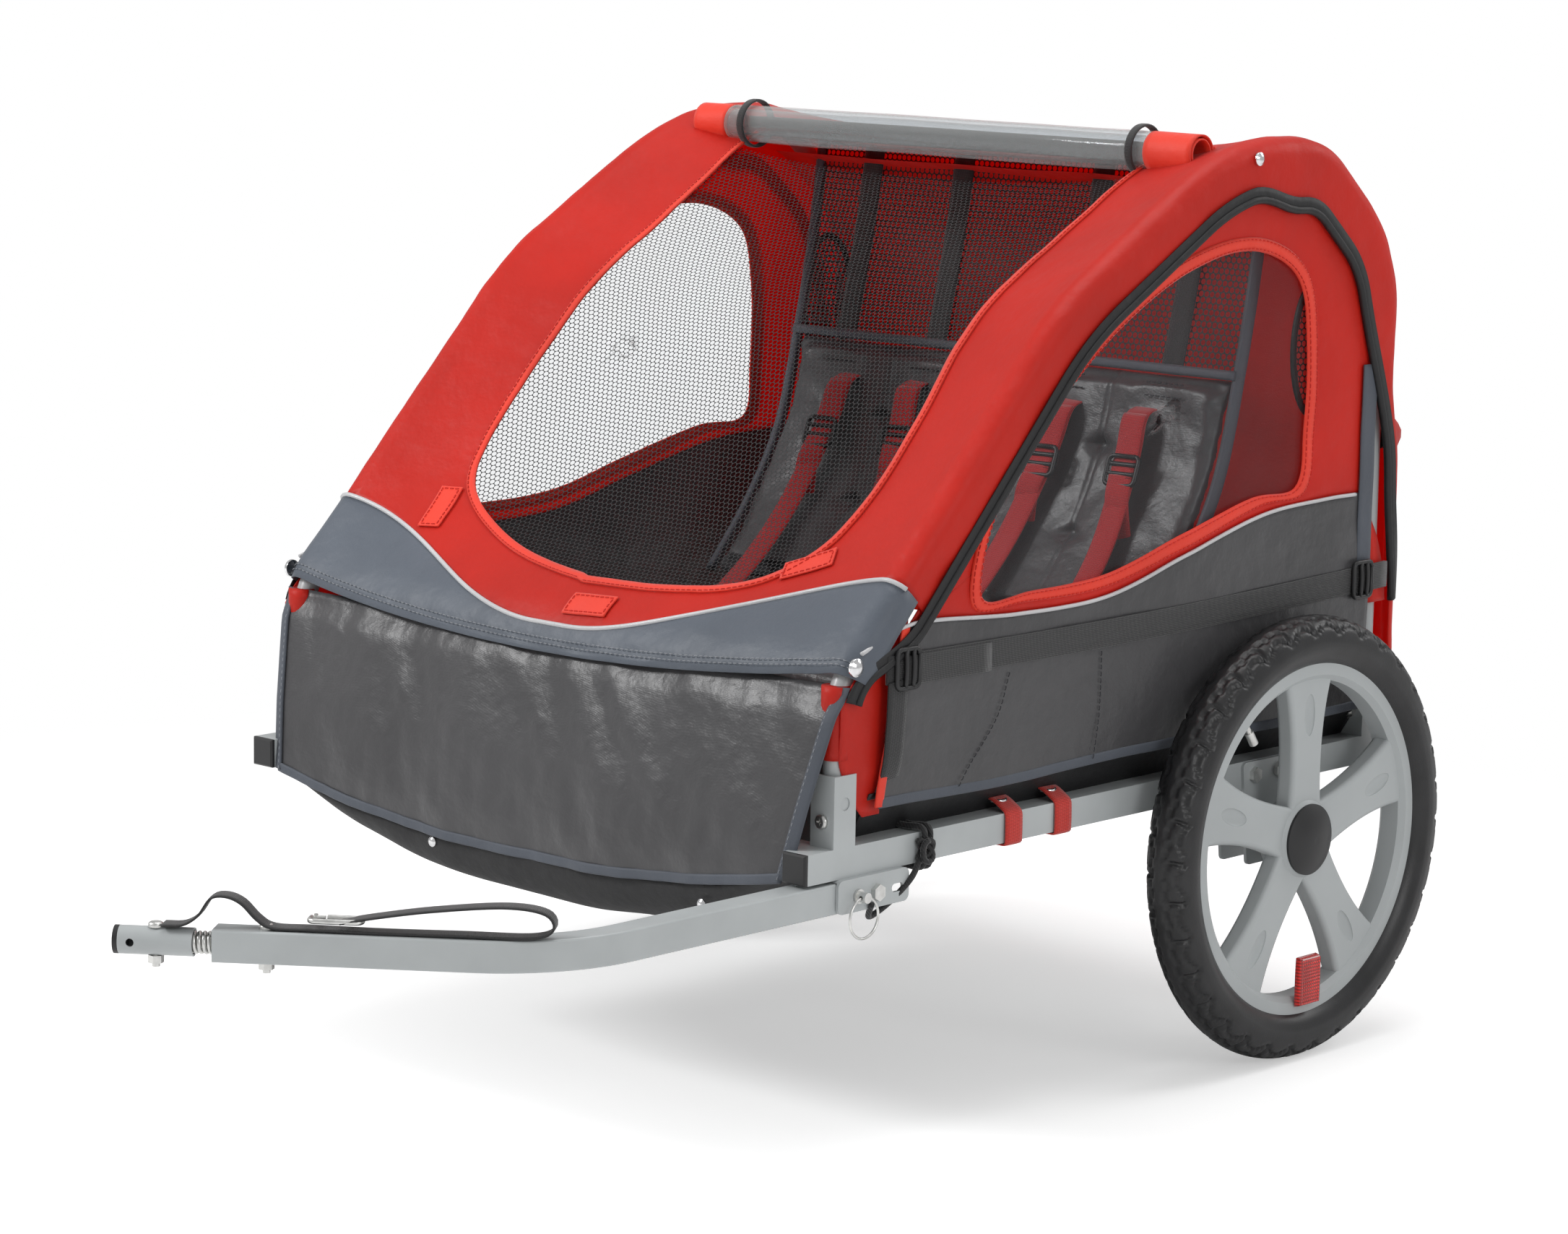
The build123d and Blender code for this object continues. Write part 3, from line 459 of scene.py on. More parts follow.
def lens(name, color):
    """Prismatic reflector, with a painted glow and facets painted lighter and darker as painted glints."""
    m = Coat(name, color, .12)
    m.put("Coat Weight", .8)
    # Painted glow: the lens gives off faint red light of its own, though it is no lamp.
    m.put("Emission Color", (*color, 1))
    m.put("Emission Strength", .12)
    coords = m.coords()
    cells = m.math("MULTIPLY", *(m.wave(coords, 105.0, axis, "TRI", 0.0) for axis in "ZY"))
    # Painted glints and shade: the prism facets are painted lighter and darker, following the bump's height.
    m.shade(cells, color, .35, 1.7, .1, .7)
    m.bump(cells, .6, .001)
    return m.material


RED = (.70, .022, .009)
BRIGHT_RED = (.78, .036, .012)
STRAP_RED = (.58, .010, .014)
CHARCOAL = (.057, .056, .059)
SLATE = (.088, .104, .130)
BLACK = (.008, .008, .009)
GREY = (.43, .455, .46)

MAT = {
    "red": nylon("red_nylon", RED, through=.42),
    "red_in": nylon("red_binding", BRIGHT_RED, rough=.6, sheen=.15),
    "charcoal": nylon("charcoal_nylon", CHARCOAL, rough=.36, crinkle=.6),
    "slate": nylon("slate_nylon", SLATE, rough=.5),
    "slate_tape": nylon("slate_twill", (.075, .085, .105), rough=.65, thread=300),
    "black": nylon("black_fabric", BLACK, rough=.55, sheen=0),
    "red_web": webbing("red_webbing", STRAP_RED),
    "loop_web": webbing("red_loop_webbing", (.64, .022, .010)),
    "black_web": webbing("black_webbing", (.018, .018, .019)),
    "plain_black_web": plain_webbing("black_cord", (.015, .015, .016)),
    "silver": nylon("silver_piping", (.55, .55, .56), rough=.3, sheen=0),
    "net": net("black_net", (.012, .012, .013), .0054, .055),
    "coarse_net": net("coarse_net", (.010, .010, .011), .0062, .10),
    "vinyl": vinyl("clear_vinyl"),
    "roll": vinyl("rolled_vinyl", (.66, .66, .64), haze=.10, stretch=4.0),
    "paint": paint("grey_powder_coat", GREY),
    "zinc": steel("zinc_plate", (.74, .74, .72), .24, .1),
    "chrome": steel("chrome_plate", (.86, .86, .87), .08),
    "black_plastic": plastic("black_plastic", (.016, .016, .017), .42),
    "rim": plastic("grey_moulding", (.42, .445, .45), .45, .12),
    "rubber": rubber("tyre_rubber", (.013, .013, .014)),
    "lens": lens("red_lens", (.55, .012, .008)),
    "thread_red": plastic("red_thread", (.62, .02, .01), .7),
    "thread_dark": plastic("dark_thread", (.03, .03, .035), .7),
    "thread_grey": plastic("grey_thread", (.22, .23, .25), .7),
}


# ------------------------------------------------------------------ mesh building
def mesh_object(name, verts, faces, material, body="frame", nodes=(), uvs=None):
    """A smooth-shaded mesh in the shared frame, riding on a body unless body is None."""
    mesh = bpy.data.meshes.new(name)
    mesh.from_pydata([(v[0], v[1] + AXLE_Y, v[2]) for v in verts], [], [tuple(f) for f in faces])
    mesh.update()
    if uvs is not None:
        layer = mesh.uv_layers.new(name="UVMap")
        flat = np.empty((len(mesh.loops), 2))
        index = np.empty(len(mesh.loops), int)
        mesh.loops.foreach_get("vertex_index", index)
        flat[:] = np.array(uvs)[index]
        layer.data.foreach_set("uv", flat.ravel())
    obj = bpy.data.objects.new(name, mesh)
    bpy.context.scene.collection.objects.link(obj)
    mesh.materials.append(material)
    mesh.polygons.foreach_set("use_smooth", [True] * len(mesh.polygons))
    if body:
        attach(obj, body)
    if nodes:
        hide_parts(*nodes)
    return obj


def grid(points):
    """Faces of a grid of points[row][column]."""
    rows, columns = len(points), len(points[0])
    verts = [p for row in points for p in row]
    faces = []
    for i in range(rows - 1):
        for j in range(columns - 1):
            a = i * columns + j
            faces.append((a, a + 1, a + columns + 1, a + columns))
    return verts, faces


def weld(obj, distance):
    """Merge close vertices and turn all faces outwards."""
    work = bmesh.new()
    work.from_mesh(obj.data)
    bmesh.ops.remove_doubles(work, verts=work.verts, dist=distance)
    bmesh.ops.recalc_face_normals(work, faces=work.faces)
    work.to_mesh(obj.data)
    work.free()
    for polygon in obj.data.polygons:
        polygon.use_smooth = True


def thicken(obj, thickness, offset=-1.0):
    modifier = obj.modifiers.new("thickness", "SOLIDIFY")
    modifier.thickness = thickness
    modifier.offset = offset
    apply_modifiers(obj)


def apply_modifiers(obj):
    deps = bpy.context.evaluated_depsgraph_get()
    mesh = bpy.data.meshes.new_from_object(obj.evaluated_get(deps))
    old = obj.data
    obj.modifiers.clear()
    obj.data = mesh
    bpy.data.meshes.remove(old)


def frames_along(path):
    """Tangent and two steady cross directions at each point of a path."""
    path = np.array(path, float)
    tangent = np.gradient(path, axis=0)
    tangent /= np.linalg.norm(tangent, axis=1)[:, None] + 1e-12
    up = np.array([0, 0, 1.0]) if abs(tangent[0][2]) < .9 else np.array([1.0, 0, 0])
    first = np.cross(tangent[0], up)
    first /= np.linalg.norm(first)
    sides = [first]
    for k in range(1, len(path)):
        side = sides[-1] - tangent[k] * (sides[-1] @ tangent[k])
        sides.append(side / (np.linalg.norm(side) + 1e-12))
    sides = np.array(sides)
    return tangent, sides, np.cross(tangent, sides)


def tube(path, radius, sides=8, closed=False):
    """Round tube along a path."""
    path = np.array(path, float)
    if closed:
        path = np.vstack([path, path[:1]])
    _, a, b = frames_along(path)
    rows = []
    for p, u, v in zip(path, a, b):
        rows.append([p + radius * (u * math.cos(t) + v * math.sin(t))
                     for t in np.linspace(0, 2 * math.pi, sides, endpoint=False)])
    verts = [p for row in rows for p in row]
    faces = []
    count = len(rows)
    for i in range(count - 1):
        for j in range(sides):
            k = (j + 1) % sides
            faces.append((i * sides + j, i * sides + k, (i + 1) * sides + k, (i + 1) * sides + j))
    faces.append(tuple(range(sides))[::-1])
    faces.append(tuple((count - 1) * sides + j for j in range(sides)))
    return verts, faces


def join(*parts):
    """One mesh out of several (verts, faces)."""
    verts, faces = [], []
    for part_verts, part_faces in parts:
        base = len(verts)
        verts += list(part_verts)
        faces += [tuple(base + i for i in face) for face in part_faces]
    return verts, faces


def strap(name, path, across, width, thickness, material, body="frame", nodes=(), bulge=.25):
    """Webbing band: path is its centre line, across its width direction at each point."""
    path = np.array(path, float)
    across = np.array(across, float)
    if across.ndim == 1:
        across = np.repeat(across[None], len(path), 0)
    across /= np.linalg.norm(across, axis=1)[:, None]
    tangent = np.gradient(path, axis=0)
    tangent /= np.linalg.norm(tangent, axis=1)[:, None] + 1e-12
    normal = np.cross(tangent, across)
    normal /= np.linalg.norm(normal, axis=1)[:, None] + 1e-12
    length = np.concatenate([[0], np.cumsum(np.linalg.norm(np.diff(path, axis=0), axis=1))])
    half, h = width / 2, thickness / 2
    section = [(-half, 0), (-half + h * .6, h), (-half * .5, h * (1 + bulge)), (half * .5, h * (1 + bulge)),
               (half - h * .6, h), (half, 0), (half - h * .6, -h), (half * .5, -h * (1 + bulge)),
               (-half * .5, -h * (1 + bulge)), (-half + h * .6, -h)]
    verts, uvs = [], []
    for p, a, n, l in zip(path, across, normal, length):
        for u, v in section:
            verts.append(p + a * u + n * v)
            uvs.append((l, u))
    size = len(section)
    faces = []
    for i in range(len(path) - 1):
        for j in range(size):
            k = (j + 1) % size
            faces.append((i * size + j, (i + 1) * size + j, (i + 1) * size + k, i * size + k))
    faces.append(tuple(range(size)))
    faces.append(tuple((len(path) - 1) * size + j for j in range(size))[::-1])
    return mesh_object(name, verts, faces, material, body, nodes, uvs)


def stitches(name, path, normals, material, length=.0034, gap=.0022, radius=.00045):
    """Row of raised stitches along a path."""
    path = np.array(path, float)
    normals = np.array(normals, float)
    if normals.ndim == 1:
        normals = np.repeat(normals[None], len(path), 0)
    total = np.sum(np.linalg.norm(np.diff(path, axis=0), axis=1))
    steps = max(2, int(total / (length + gap)))
    both = resample(np.hstack([path, normals]), steps * 6 + 1)
    parts = []
    for k in range(steps):
        part = both[k * 6:k * 6 + 5]
        lift = np.array([0, 1, 1.3, 1, 0])[:, None] * radius
        parts.append(tube(part[:, :3] + part[:, 3:] * lift, radius, 5))
    verts, faces = join(*parts)
    return mesh_object(name, verts, faces, material)


def crumple(obj, anchor=.300, keep=.3):
    """Gives the piece its own copy of its mesh."""
    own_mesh(obj)
    return obj


def piece(name, mesh, look, thick=0.0, offset=0, merge=0.0, nodes=(), fold=CANOPY_FOLD):
    """One piece on the frame: merged, thickened, and given its own copy of its mesh unless fold is None."""
    obj = mesh_object(name, *mesh, MAT[look], None)
    if merge:
        weld(obj, merge)
    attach(obj, "frame")
    if thick:
        thicken(obj, thick, offset)
    if nodes:
        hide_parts(*nodes)
    if fold is not None:
        crumple(obj, **fold)
    return obj


def belt(name, path, across, width, thickness, look, fold=CANOPY_FOLD, **shape):
    """A strap with its own copy of its mesh."""
    return crumple(strap(name, path, across, width, thickness, MAT[look], **shape), **fold)


def stitch_line(name, path, normals, look, fold=CANOPY_FOLD, **shape):
    """A row of stitches with its own copy of its mesh."""
    return crumple(stitches(name, path, normals, MAT[look], **shape), **fold)


# ------------------------------------------------------------------ canopy pieces
def piping_height(x):
    """Height of the silver piping across the front."""
    return .407 + .070 * float(smooth(.02, .325, abs(x)))


def hem_height(x):
    return .384 + .026 * (abs(x) / .34) ** 2


OPENING = [(0, .448), (.090, .451), (.165, .464), (.212, .492), (.238, .540), (.240, .600), (.233, .660),
           (.231, .720), (.236, .770)]
OPENING_RIGHT = [(0, .449), (.057, .456), (.110, .466), (.159, .481), (.199, .498), (.222, .516),
                 (.231, .542), (.235, .600), (.232, .660), (.229, .720), (.232, .770)]
OPENING_TOP_Y = -.046


def opening_outline(inset=0.0, count=120, heights=OPENING):
    """Right half of the front opening from the bottom middle to the top middle, as (w, s)."""
    points = [(x, PROFILE.s_front(z)) for x, z in heights]
    top = PROFILE.s_of_y(OPENING_TOP_Y)
    points.append((.240, top - .012))
    side = spline(points, count)
    corner = spline([(.240, top - .012), (.234, top - .002), (.215, top), (.12, top), (0, top)], count // 2)
    line = resample(np.vstack([side, corner[1:]]), count)
    if inset:
        centre = np.array([0, (points[0][1] + top) / 2])
        gap = line - centre
        line = centre + gap * (1 - inset / np.linalg.norm(gap, axis=1))[:, None]
    return line


def full_outline(inset=0.0):
    right = opening_outline(inset)
    left = opening_outline(inset, heights=OPENING_RIGHT)[::-1] * np.array([-1, 1])
    return np.vstack([right, left[1:-1]])


def ray_hit(outline, centre, direction):
    """Where a ray from the centre meets a closed outline."""
    best = None
    a = outline - centre
    b = np.roll(outline, -1, 0) - centre
    d = b - a
    det = direction[0] * -d[:, 1] + direction[1] * d[:, 0]
    det[abs(det) < 1e-12] = 1e-12
    t = (a[:, 0] * -d[:, 1] + a[:, 1] * d[:, 0]) / det
    u = (direction[0] * a[:, 1] - direction[1] * a[:, 0]) / det
    ok = (t > 0) & (u >= -1e-9) & (u <= 1 + 1e-9)
    best = t[ok].min()
    return centre + direction * best


def canopy_wrinkle(p, w):
    """Fine unevenness of stretched fabric, more where panels meet."""
    edge = .45 + .55 * float(smooth(.0, .10, abs(abs(w) - .28)))
    value = .0016 * ripple(p[0], p[1], p[2], 9, 1) + .0009 * ripple(p[0] * .4, p[1], p[2], 30, 2)
    value += .0005 * ripple(p[0], p[1], p[2], 60, 3)
    return value * edge


def surface(s, w, lift=0.0):
    p = canopy_point(s, w, 0)
    return canopy_point(s, w, lift + canopy_wrinkle(p, w))


def canopy():
    """The whole red cover as one curved sheet: front, roof, rear and the flanges over the hoops."""
    s_top = PROFILE.s_of_y(.030)
    s_end = PROFILE.s_rear(.300)
    hole = full_outline()
    centre = np.array([0, (PROFILE.s_front(.448) + PROFILE.s_of_y(OPENING_TOP_Y)) / 2])
    s_side0 = PROFILE.s_front(piping_height(FLAT_X))
    side_s = np.linspace(s_side0, s_top, 80)
    top_w = np.linspace(FLAT_X, -FLAT_X, 61)
    bottom_w = np.linspace(-FLAT_X, FLAT_X, 91)
    bottom = [(w, PROFILE.s_front(piping_height(w))) for w in bottom_w]
    outer = bottom[:-1] + [(FLAT_X, s) for s in side_s[:-1]] + [(w, s_top) for w in top_w[:-1]]
    outer += [(-FLAT_X, s) for s in side_s[::-1][:-1]]
    outer = np.array(outer)
    rows = 14
    verts, faces = [], []
    for row in range(rows + 1):
        t = row / rows
        for point in outer:
            direction = point - centre
            direction = direction / np.linalg.norm(direction)
            inner = ray_hit(hole, centre, direction)
            w, s = inner + (point - inner) * t
            verts.append(surface(s, w))
    size = len(outer)
    for row in range(rows):
        for k in range(size):
            n = (k + 1) % size
            faces.append((row * size + k, row * size + n, (row + 1) * size + n, (row + 1) * size + k))
    ring = (verts, faces)
    rear_s = np.linspace(s_top, s_end, 90)
    rear = grid([[surface(s, w) for w in top_w[::-1]] for s in rear_s])
    flaps = []
    for side in (1, -1):
        points = []
        for s in list(side_s) + list(rear_s[1:]):
            reach = SKIN * math.pi / 2 + flange(s)
            points.append([surface(s, side * (FLAT_X + reach * k / 9)) for k in range(10)])
        flaps.append(grid(points))
    piece("canopy_cover", join(ring, rear, *flaps), "red", .0012, offset=-1, merge=.0006, nodes=("canopy",))
    return side_s, rear_s


def rear_lining():
    """Inner layer of the rear, ahead of the crossbar, which runs in a sleeve between the two."""
    rows = []
    for s in np.linspace(PROFILE.s_of_y(.055), PROFILE.s_rear(.310), 60):
        y, z, ny, nz = PROFILE.at(s)
        line = []
        for w in np.linspace(-.316, .316, 60):
            back = .031 + .0022 * ripple(w, y, z, 10, 15)
            line.append(np.array([w, y - ny * back, z - nz * back]))
        rows.append(line)
    piece("rear_lining", grid(rows), "red", merge=FINE)


def front_band():
    """Blue-grey band between the silver piping and the hem, wrapped round the front corners."""
    reach = FLAT_X + SKIN * math.pi / 2 + .012
    columns = np.linspace(-reach, reach, 140)
    points, rows = [], 9
    for row in range(rows + 1):
        line = []
        for w in columns:
            x = min(abs(w), FLAT_X)
            low = PROFILE.s_front(hem_height(x))
            high = PROFILE.s_front(piping_height(x)) + .0005
            s = low + (high - low) * row / rows
            fold = .0014 * math.sin(w * 95 + row * .3) * ripple(w, 0, row * .1, 6, 5)
            fold += .0011 * ripple(w, s * .6, 0, 42, 6)
            reach_here = FLAT_X + SKIN * math.pi / 2 + flange(s)
            bounded = math.copysign(min(abs(w), reach_here), w)
            line.append(canopy_point(s, bounded, .0030 - .0016 * row / rows + fold * (1 - row / rows)))
        points.append(line)
    piece("front_band", grid(points), "slate", .0014, offset=-1)
    reach = FLAT_X + SKIN * math.pi / 2 - .005
    columns = np.linspace(-reach, reach, 140)
    silver = [canopy_point(PROFILE.s_front(piping_height(min(abs(w), FLAT_X))), w, .0016) for w in columns]
    piece("silver_piping_front", tube(silver, .0021, 8), "silver")
    for k, drop in enumerate((.006, .010)):
        line = [canopy_point(PROFILE.s_front(hem_height(min(abs(w), FLAT_X))) + drop, w, .0042)
                for w in columns]
        stitch_line(f"hem_stitches_{k}", line, (0, -1, .2), "thread_grey")


def opening_binding():
    """Folded binding and stitching round the front opening."""
    line = full_outline(-.004)
    inner_line = full_outline(.004)
    centre_path = [surface(s, w, .0012) for w, s in full_outline(0)]
    inner_path = [surface(s, w, .0012) for w, s in inner_line]
    outer_path = [surface(s, w, .0012) for w, s in line]
    rows = []
    for a, b, c in zip(inner_path, centre_path, outer_path):
        rows.append([a, b + (0, 0, .0002), c])
    rows.append(rows[0])
    piece("opening_binding", grid(rows), "red_in", .0022, merge=.0001)
    stitched = [surface(s, w, .0026) for w, s in full_outline(-.0025)]
    stitch_line("opening_stitches", stitched, (0, -.7, .7), "thread_red")


def front_screen():
    """Black net across the front opening, with texture coordinates along the surface."""
    low = PROFILE.s_front(.440)
    high = PROFILE.s_of_y(-.090)
    outline = full_outline(-.003)
    rows, columns = 60, 60
    verts, uvs = [], []
    for s in np.linspace(low, high, rows):
        left, right = (.05, .05) if s < outline[1, 1] else (
            np.interp(s, half[:, 1], abs(half[:, 0])) for half in (outline[:120], outline[:118:-1]))
        for t in np.linspace(-1, 1, columns):
            w = (left if t > 0 else right) * t
            verts.append(canopy_point(s, w, -.0022 - .004 * (1 - t * t)))
            uvs.append((w, s))
    _, faces = grid([[0] * columns for _ in range(rows)])
    obj = mesh_object("front_net", verts, faces, MAT["net"], "frame", ("front_screen",), uvs)
    crumple(obj)


def black_piping(side_s, rear_s):
    """Black piping along the lower edge of the flanges, from the front corner to the rear."""
    for side, name in ((1, "left"), (-1, "right")):
        path = []
        whole = list(np.linspace(PROFILE.s_front(.388), side_s[0], 20)[:-1]) + list(side_s) + list(rear_s[1:])
        for s in whole:
            reach = SKIN * math.pi / 2 + flange(s)
            path.append(canopy_point(s, side * (FLAT_X + reach), .0014))
        path = [p for p in path if not (p[1] > .1 and p[2] < .385)]
        piece(f"{name}_arch_piping", tube(resample(np.array(path), 260), .0036, 10), "black")
        tape = []
        for s in whole:
            reach = SKIN * math.pi / 2 + flange(s)
            if PROFILE.at(s)[0] > .1 and PROFILE.at(s)[1] < .385:
                break
            width = min(.0115, reach - .012)
            tape.append([canopy_point(s, side * (FLAT_X + reach - d), .0022)
                         for d in (width, width / 2, .0005)])
        piece(f"{name}_arch_tape", grid(tape), "black", .0009)


# ------------------------------------------------------------------ side walls
WAIST = spline([(-.548, .424), (-.484, .442), (-.358, .436), (-.235, .438), (-.126, .464), (-.020, .488),
                (.073, .494), (.146, .494)], 160)
WINDOW = [(-.405, .452), (-.340, .449), (-.235, .452), (-.130, .476), (-.030, .500), (.036, .506),
          (.046, .560), (.046, .640), (.028, .700), (-.040, .728), (-.130, .716), (-.225, .674),
          (-.320, .602), (-.386, .530)]
WINDOW_CENTRE = np.array([-.150, .590])
HEM = .294
REAR_EDGE = .143


def waist_z(y):
    return float(np.interp(y, WAIST[:, 0], WAIST[:, 1]))


def window_outline(inset=0.0, count=220):
    loop = WINDOW[-2:] + WINDOW + WINDOW[:2]
    line = spline(loop, 3000)
    first = np.argmin(np.linalg.norm(line - np.array(WINDOW[0]), axis=1)[:900])
    last = 2000 + np.argmin(np.linalg.norm(line[2000:] - np.array(WINDOW[0]), axis=1))
    line = resample(line[first:last], count + 1)[:-1]
    gap = line - WINDOW_CENTRE
    return WINDOW_CENTRE + gap * (1 - inset / np.linalg.norm(gap, axis=1))[:, None]


def side_point(side, y, z, out=0.0):
    puff = .0016 * ripple(y, z, side, 7, 3) + .0007 * ripple(y, z, side, 24, 4)
    return np.array([side * (SIDE_X + out + puff), y, z])


def arch_line(drop):
    """Side view line a distance above the black piping."""
    points = []
    for s in np.linspace(PROFILE.s_front(.43), PROFILE.s_rear(.50), 160):
        y, z, ny, nz = PROFILE.at(s)
        n = drop - flange(s)
        points.append((min(y + ny * n, REAR_EDGE), z + nz * n))
    return np.array(points)


def red_side(side, name):
    """Red upper side wall between the window and the arch."""
    arch = arch_line(.012)
    arch = arch[arch[:, 1] > np.interp(arch[:, 0], WAIST[:, 0], WAIST[:, 1]) - .002]
    low = WAIST[(WAIST[:, 0] > arch[0, 0] - .004) & (WAIST[:, 0] < REAR_EDGE)]
    rear = np.array([(REAR_EDGE, z) for z in np.linspace(WAIST[-1, 1], arch[-1, 1], 12)[1:-1]])
    outer = resample(np.vstack([arch, rear[::-1], low[::-1], arch[:1]]), 420)[:-1]
    hole = window_outline()
    verts = []
    rows = 10
    for row in range(rows + 1):
        t = row / rows
        for point in outer:
            inner = ray_hit(hole, WINDOW_CENTRE,
                            (point - WINDOW_CENTRE) / np.linalg.norm(point - WINDOW_CENTRE))
            y, z = inner + (point - inner) * t
            pull = -.0028 + .0022 * math.sin(math.pi * t)
            verts.append(side_point(side, y, z, pull))
    size = len(outer)
    faces = [(r * size + k, r * size + (k + 1) % size, (r + 1) * size + (k + 1) % size, (r + 1) * size + k)
             for r in range(rows) for k in range(size)]
    piece(f"{name}_red_side", (verts, faces), "red", CLOTH, merge=FINE)


def window(side, name, nodes):
    """Clear pane with its binding and stitching."""
    outline = window_outline(-.003)
    middle = -.0042 + .0030 * ripple(WINDOW_CENTRE[0] * 1.4, WINDOW_CENTRE[1], side, 6, 8)
    verts = [np.array([side * (SIDE_X + middle), *WINDOW_CENTRE])]
    rings = 14
    for ring in range(1, rings + 1):
        for y, z in WINDOW_CENTRE + (outline - WINDOW_CENTRE) * ring / rings:
            bow = -.0042 + .0030 * ripple(y * 1.4, z, side, 6, 8) * (1 - (ring / rings) ** 3)
            verts.append(np.array([side * (SIDE_X + bow), y, z]))
    size = len(outline)
    faces = [(0, 1 + k, 1 + (k + 1) % size) for k in range(size)]
    for ring in range(rings - 1):
        base = 1 + ring * size
        faces += [(base + k, base + (k + 1) % size, base + size + (k + 1) % size, base + size + k)
                  for k in range(size)]
    piece(f"{name}_window_pane", (verts, faces), "vinyl", nodes=nodes)
    rows = [[side_point(side, y, z, lift) for y, z in window_outline(inset)]
            for inset, lift in ((.0065, -.0012), (.004, .0006), (-.0005, .0006), (-.005, .0006),
                                (-.0075, -.0012))]
    rows = [row + row[:1] for row in rows]
    piece(f"{name}_window_binding", grid(rows), "red_in", .0012, merge=.0001)
    for k, inset in enumerate((.0042, -.0056)):
        path = [side_point(side, y, z, .0013) for y, z in window_outline(inset)]
        stitch_line(f"{name}_window_stitches_{k}", path + path[:1], (side, 0, 0), "thread_red")


def front_edge(z):
    """Front edge of the grey side panel by height."""
    return float(np.interp(z, [.294, .330, .424], [-.524, -.517, -.494]))


def grey_side(side, name, node):
    """Charcoal lower side panel with its waist piping, hem binding and seams."""
    rows, columns = 30, 150
    points = []
    for i in range(rows + 1):
        t = i / rows
        line = []
        for j in range(columns + 1):
            v = j / columns
            y = front_edge(HEM + .13 * t) + (REAR_EDGE - front_edge(HEM + .13 * t)) * v
            top = waist_z(y) + .001
            low = HEM + .004 * ripple(y, 0, side, 5, 9)
            z = low + (top - low) * t
            belly = .0026 * math.sin(math.pi * t) * (1 - .6 * t)
            fold = .0016 * ripple(y * .45 + z * .8, z * 1.6, side, 17, 11) * (1 - t * .6)
            line.append(side_point(side, y, z, belly + fold))
        points.append(line)
    piece(f"{name}_grey_side", grid(points), "charcoal", CLOTH, merge=FINE, nodes=(node,))
    waist = [side_point(side, y, z, .0012) for y, z in WAIST if y < REAR_EDGE - .02]
    piece(f"{name}_waist_piping", tube(resample(np.array(waist), 200), .0018, 8), "silver")
    hem = np.array(points[0]) + (side * .0006, 0, .003)
    strap_obj = strap(f"{name}_hem_binding", hem, (0, 0, 1), .009, .0022, MAT["slate_tape"])
    crumple(strap_obj)
    edge = np.array([row[0] for row in points]) + (side * .0006, 0, 0)
    belt(f"{name}_front_edge_tape", edge, (0, 1, 0), .010, .0022, "red_in")
    seams = [[(-.365, .388), (-.380, .352), (-.413, .315), (-.427, .298)],
             [(-.243, .392), (-.244, .340), (-.252, .298)]]
    for k, seam in enumerate(seams):
        line = spline(seam, 40)
        path = [side_point(side, y, z, .0030) for y, z in line]
        stitch_line(f"{name}_pocket_seam_{k}", path, (side, 0, 0), "thread_dark")
    rear = [side_point(side, REAR_EDGE - .008, z, .0016) for z in np.linspace(.400, .612, 40)]
    belt(f"{name}_rear_strip", rear, (0, 1, 0), .021, .0020, "slate_tape", bulge=0)
    flap = spline([(.146, .470), (.158, .450), (.168, .420), (.172, .392)], 24)
    rows = [[side_point(side, .140, z, .0004), side_point(side, (y + .140) / 2, z, .0016),
             side_point(side, y, z, .0004)] for y, z in flap]
    piece(f"{name}_rear_flap", grid(rows), "red", CLOTH)


BELT_X = .3440


def belt_line(side, count=60):
    y = np.linspace(-.520, .166, count)
    z = .4075 + .010 * np.interp(y, [-.52, .166], [0, 1]) - .005 * np.sin(np.linspace(0, math.pi, count))
    return np.stack([np.full(count, side * BELT_X), y, z], 1)


def ladder_lock(name, centre, along, across, size=(.027, .032), bars=(-.003, .006)):
    """Plastic strap adjuster: a rounded frame with two bars."""
    centre, along, across = (np.array(v, float) for v in (centre, along, across))
    along /= np.linalg.norm(along)
    across /= np.linalg.norm(across)
    normal = np.cross(along, across)
    half_a, half_c = size[0] / 2, size[1] / 2
    corner = .005
    loop = []
    for sx, sy, start in ((1, 1, 0), (-1, 1, 90), (-1, -1, 180), (1, -1, 270)):
        for step in range(5):
            angle = math.radians(start + step * 22.5)
            loop.append(centre + along * (sx * (half_a - corner) + corner * math.cos(angle))
                        + across * (sy * (half_c - corner) + corner * math.sin(angle)))
    parts = [tube(np.array(loop), .0022, 8, True)]
    for offset in bars:
        ends = [centre + along * offset + across * k * half_c + normal * .0012 * (1 - k * k)
                for k in np.linspace(-1, 1, 7)]
        parts.append(tube(np.array(ends), .0022, 8))
    verts, faces = join(*parts)
    return mesh_object(name, verts, faces, MAT["black_plastic"])


def belts():
    """Webbing belt along each side with an adjuster at both ends."""
    for side, name in ((1, "left"), (-1, "right")):
        line = belt_line(side)
        nodes = ("side_belts",) if side == 1 else ()
        belt(f"{name}_side_belt", line, (0, 0, 1), BELT_WIDTH, .0017, "black_web", nodes=nodes)
        tail = line[(line[:, 1] > -.498) & (line[:, 1] < -.387)] + (side * .0021, 0, -.002)
        belt(f"{name}_belt_tail", tail, (0, 0, 1), BELT_WIDTH, .0017, "black_web")
        rear = line[line[:, 1] > .120] + (side * .0021, 0, 0)
        belt(f"{name}_rear_tail", rear, (0, 0, 1), BELT_WIDTH, .0017, "black_web")
        for k, y in enumerate((-.497, .128)):
            z = float(np.interp(y, line[:, 1], line[:, 2]))
            lock = ladder_lock(f"{name}_belt_lock_{k}", (side * (BELT_X + .0030), y, z), (0, 1, 0), (0, 0, 1))
            crumple(lock)


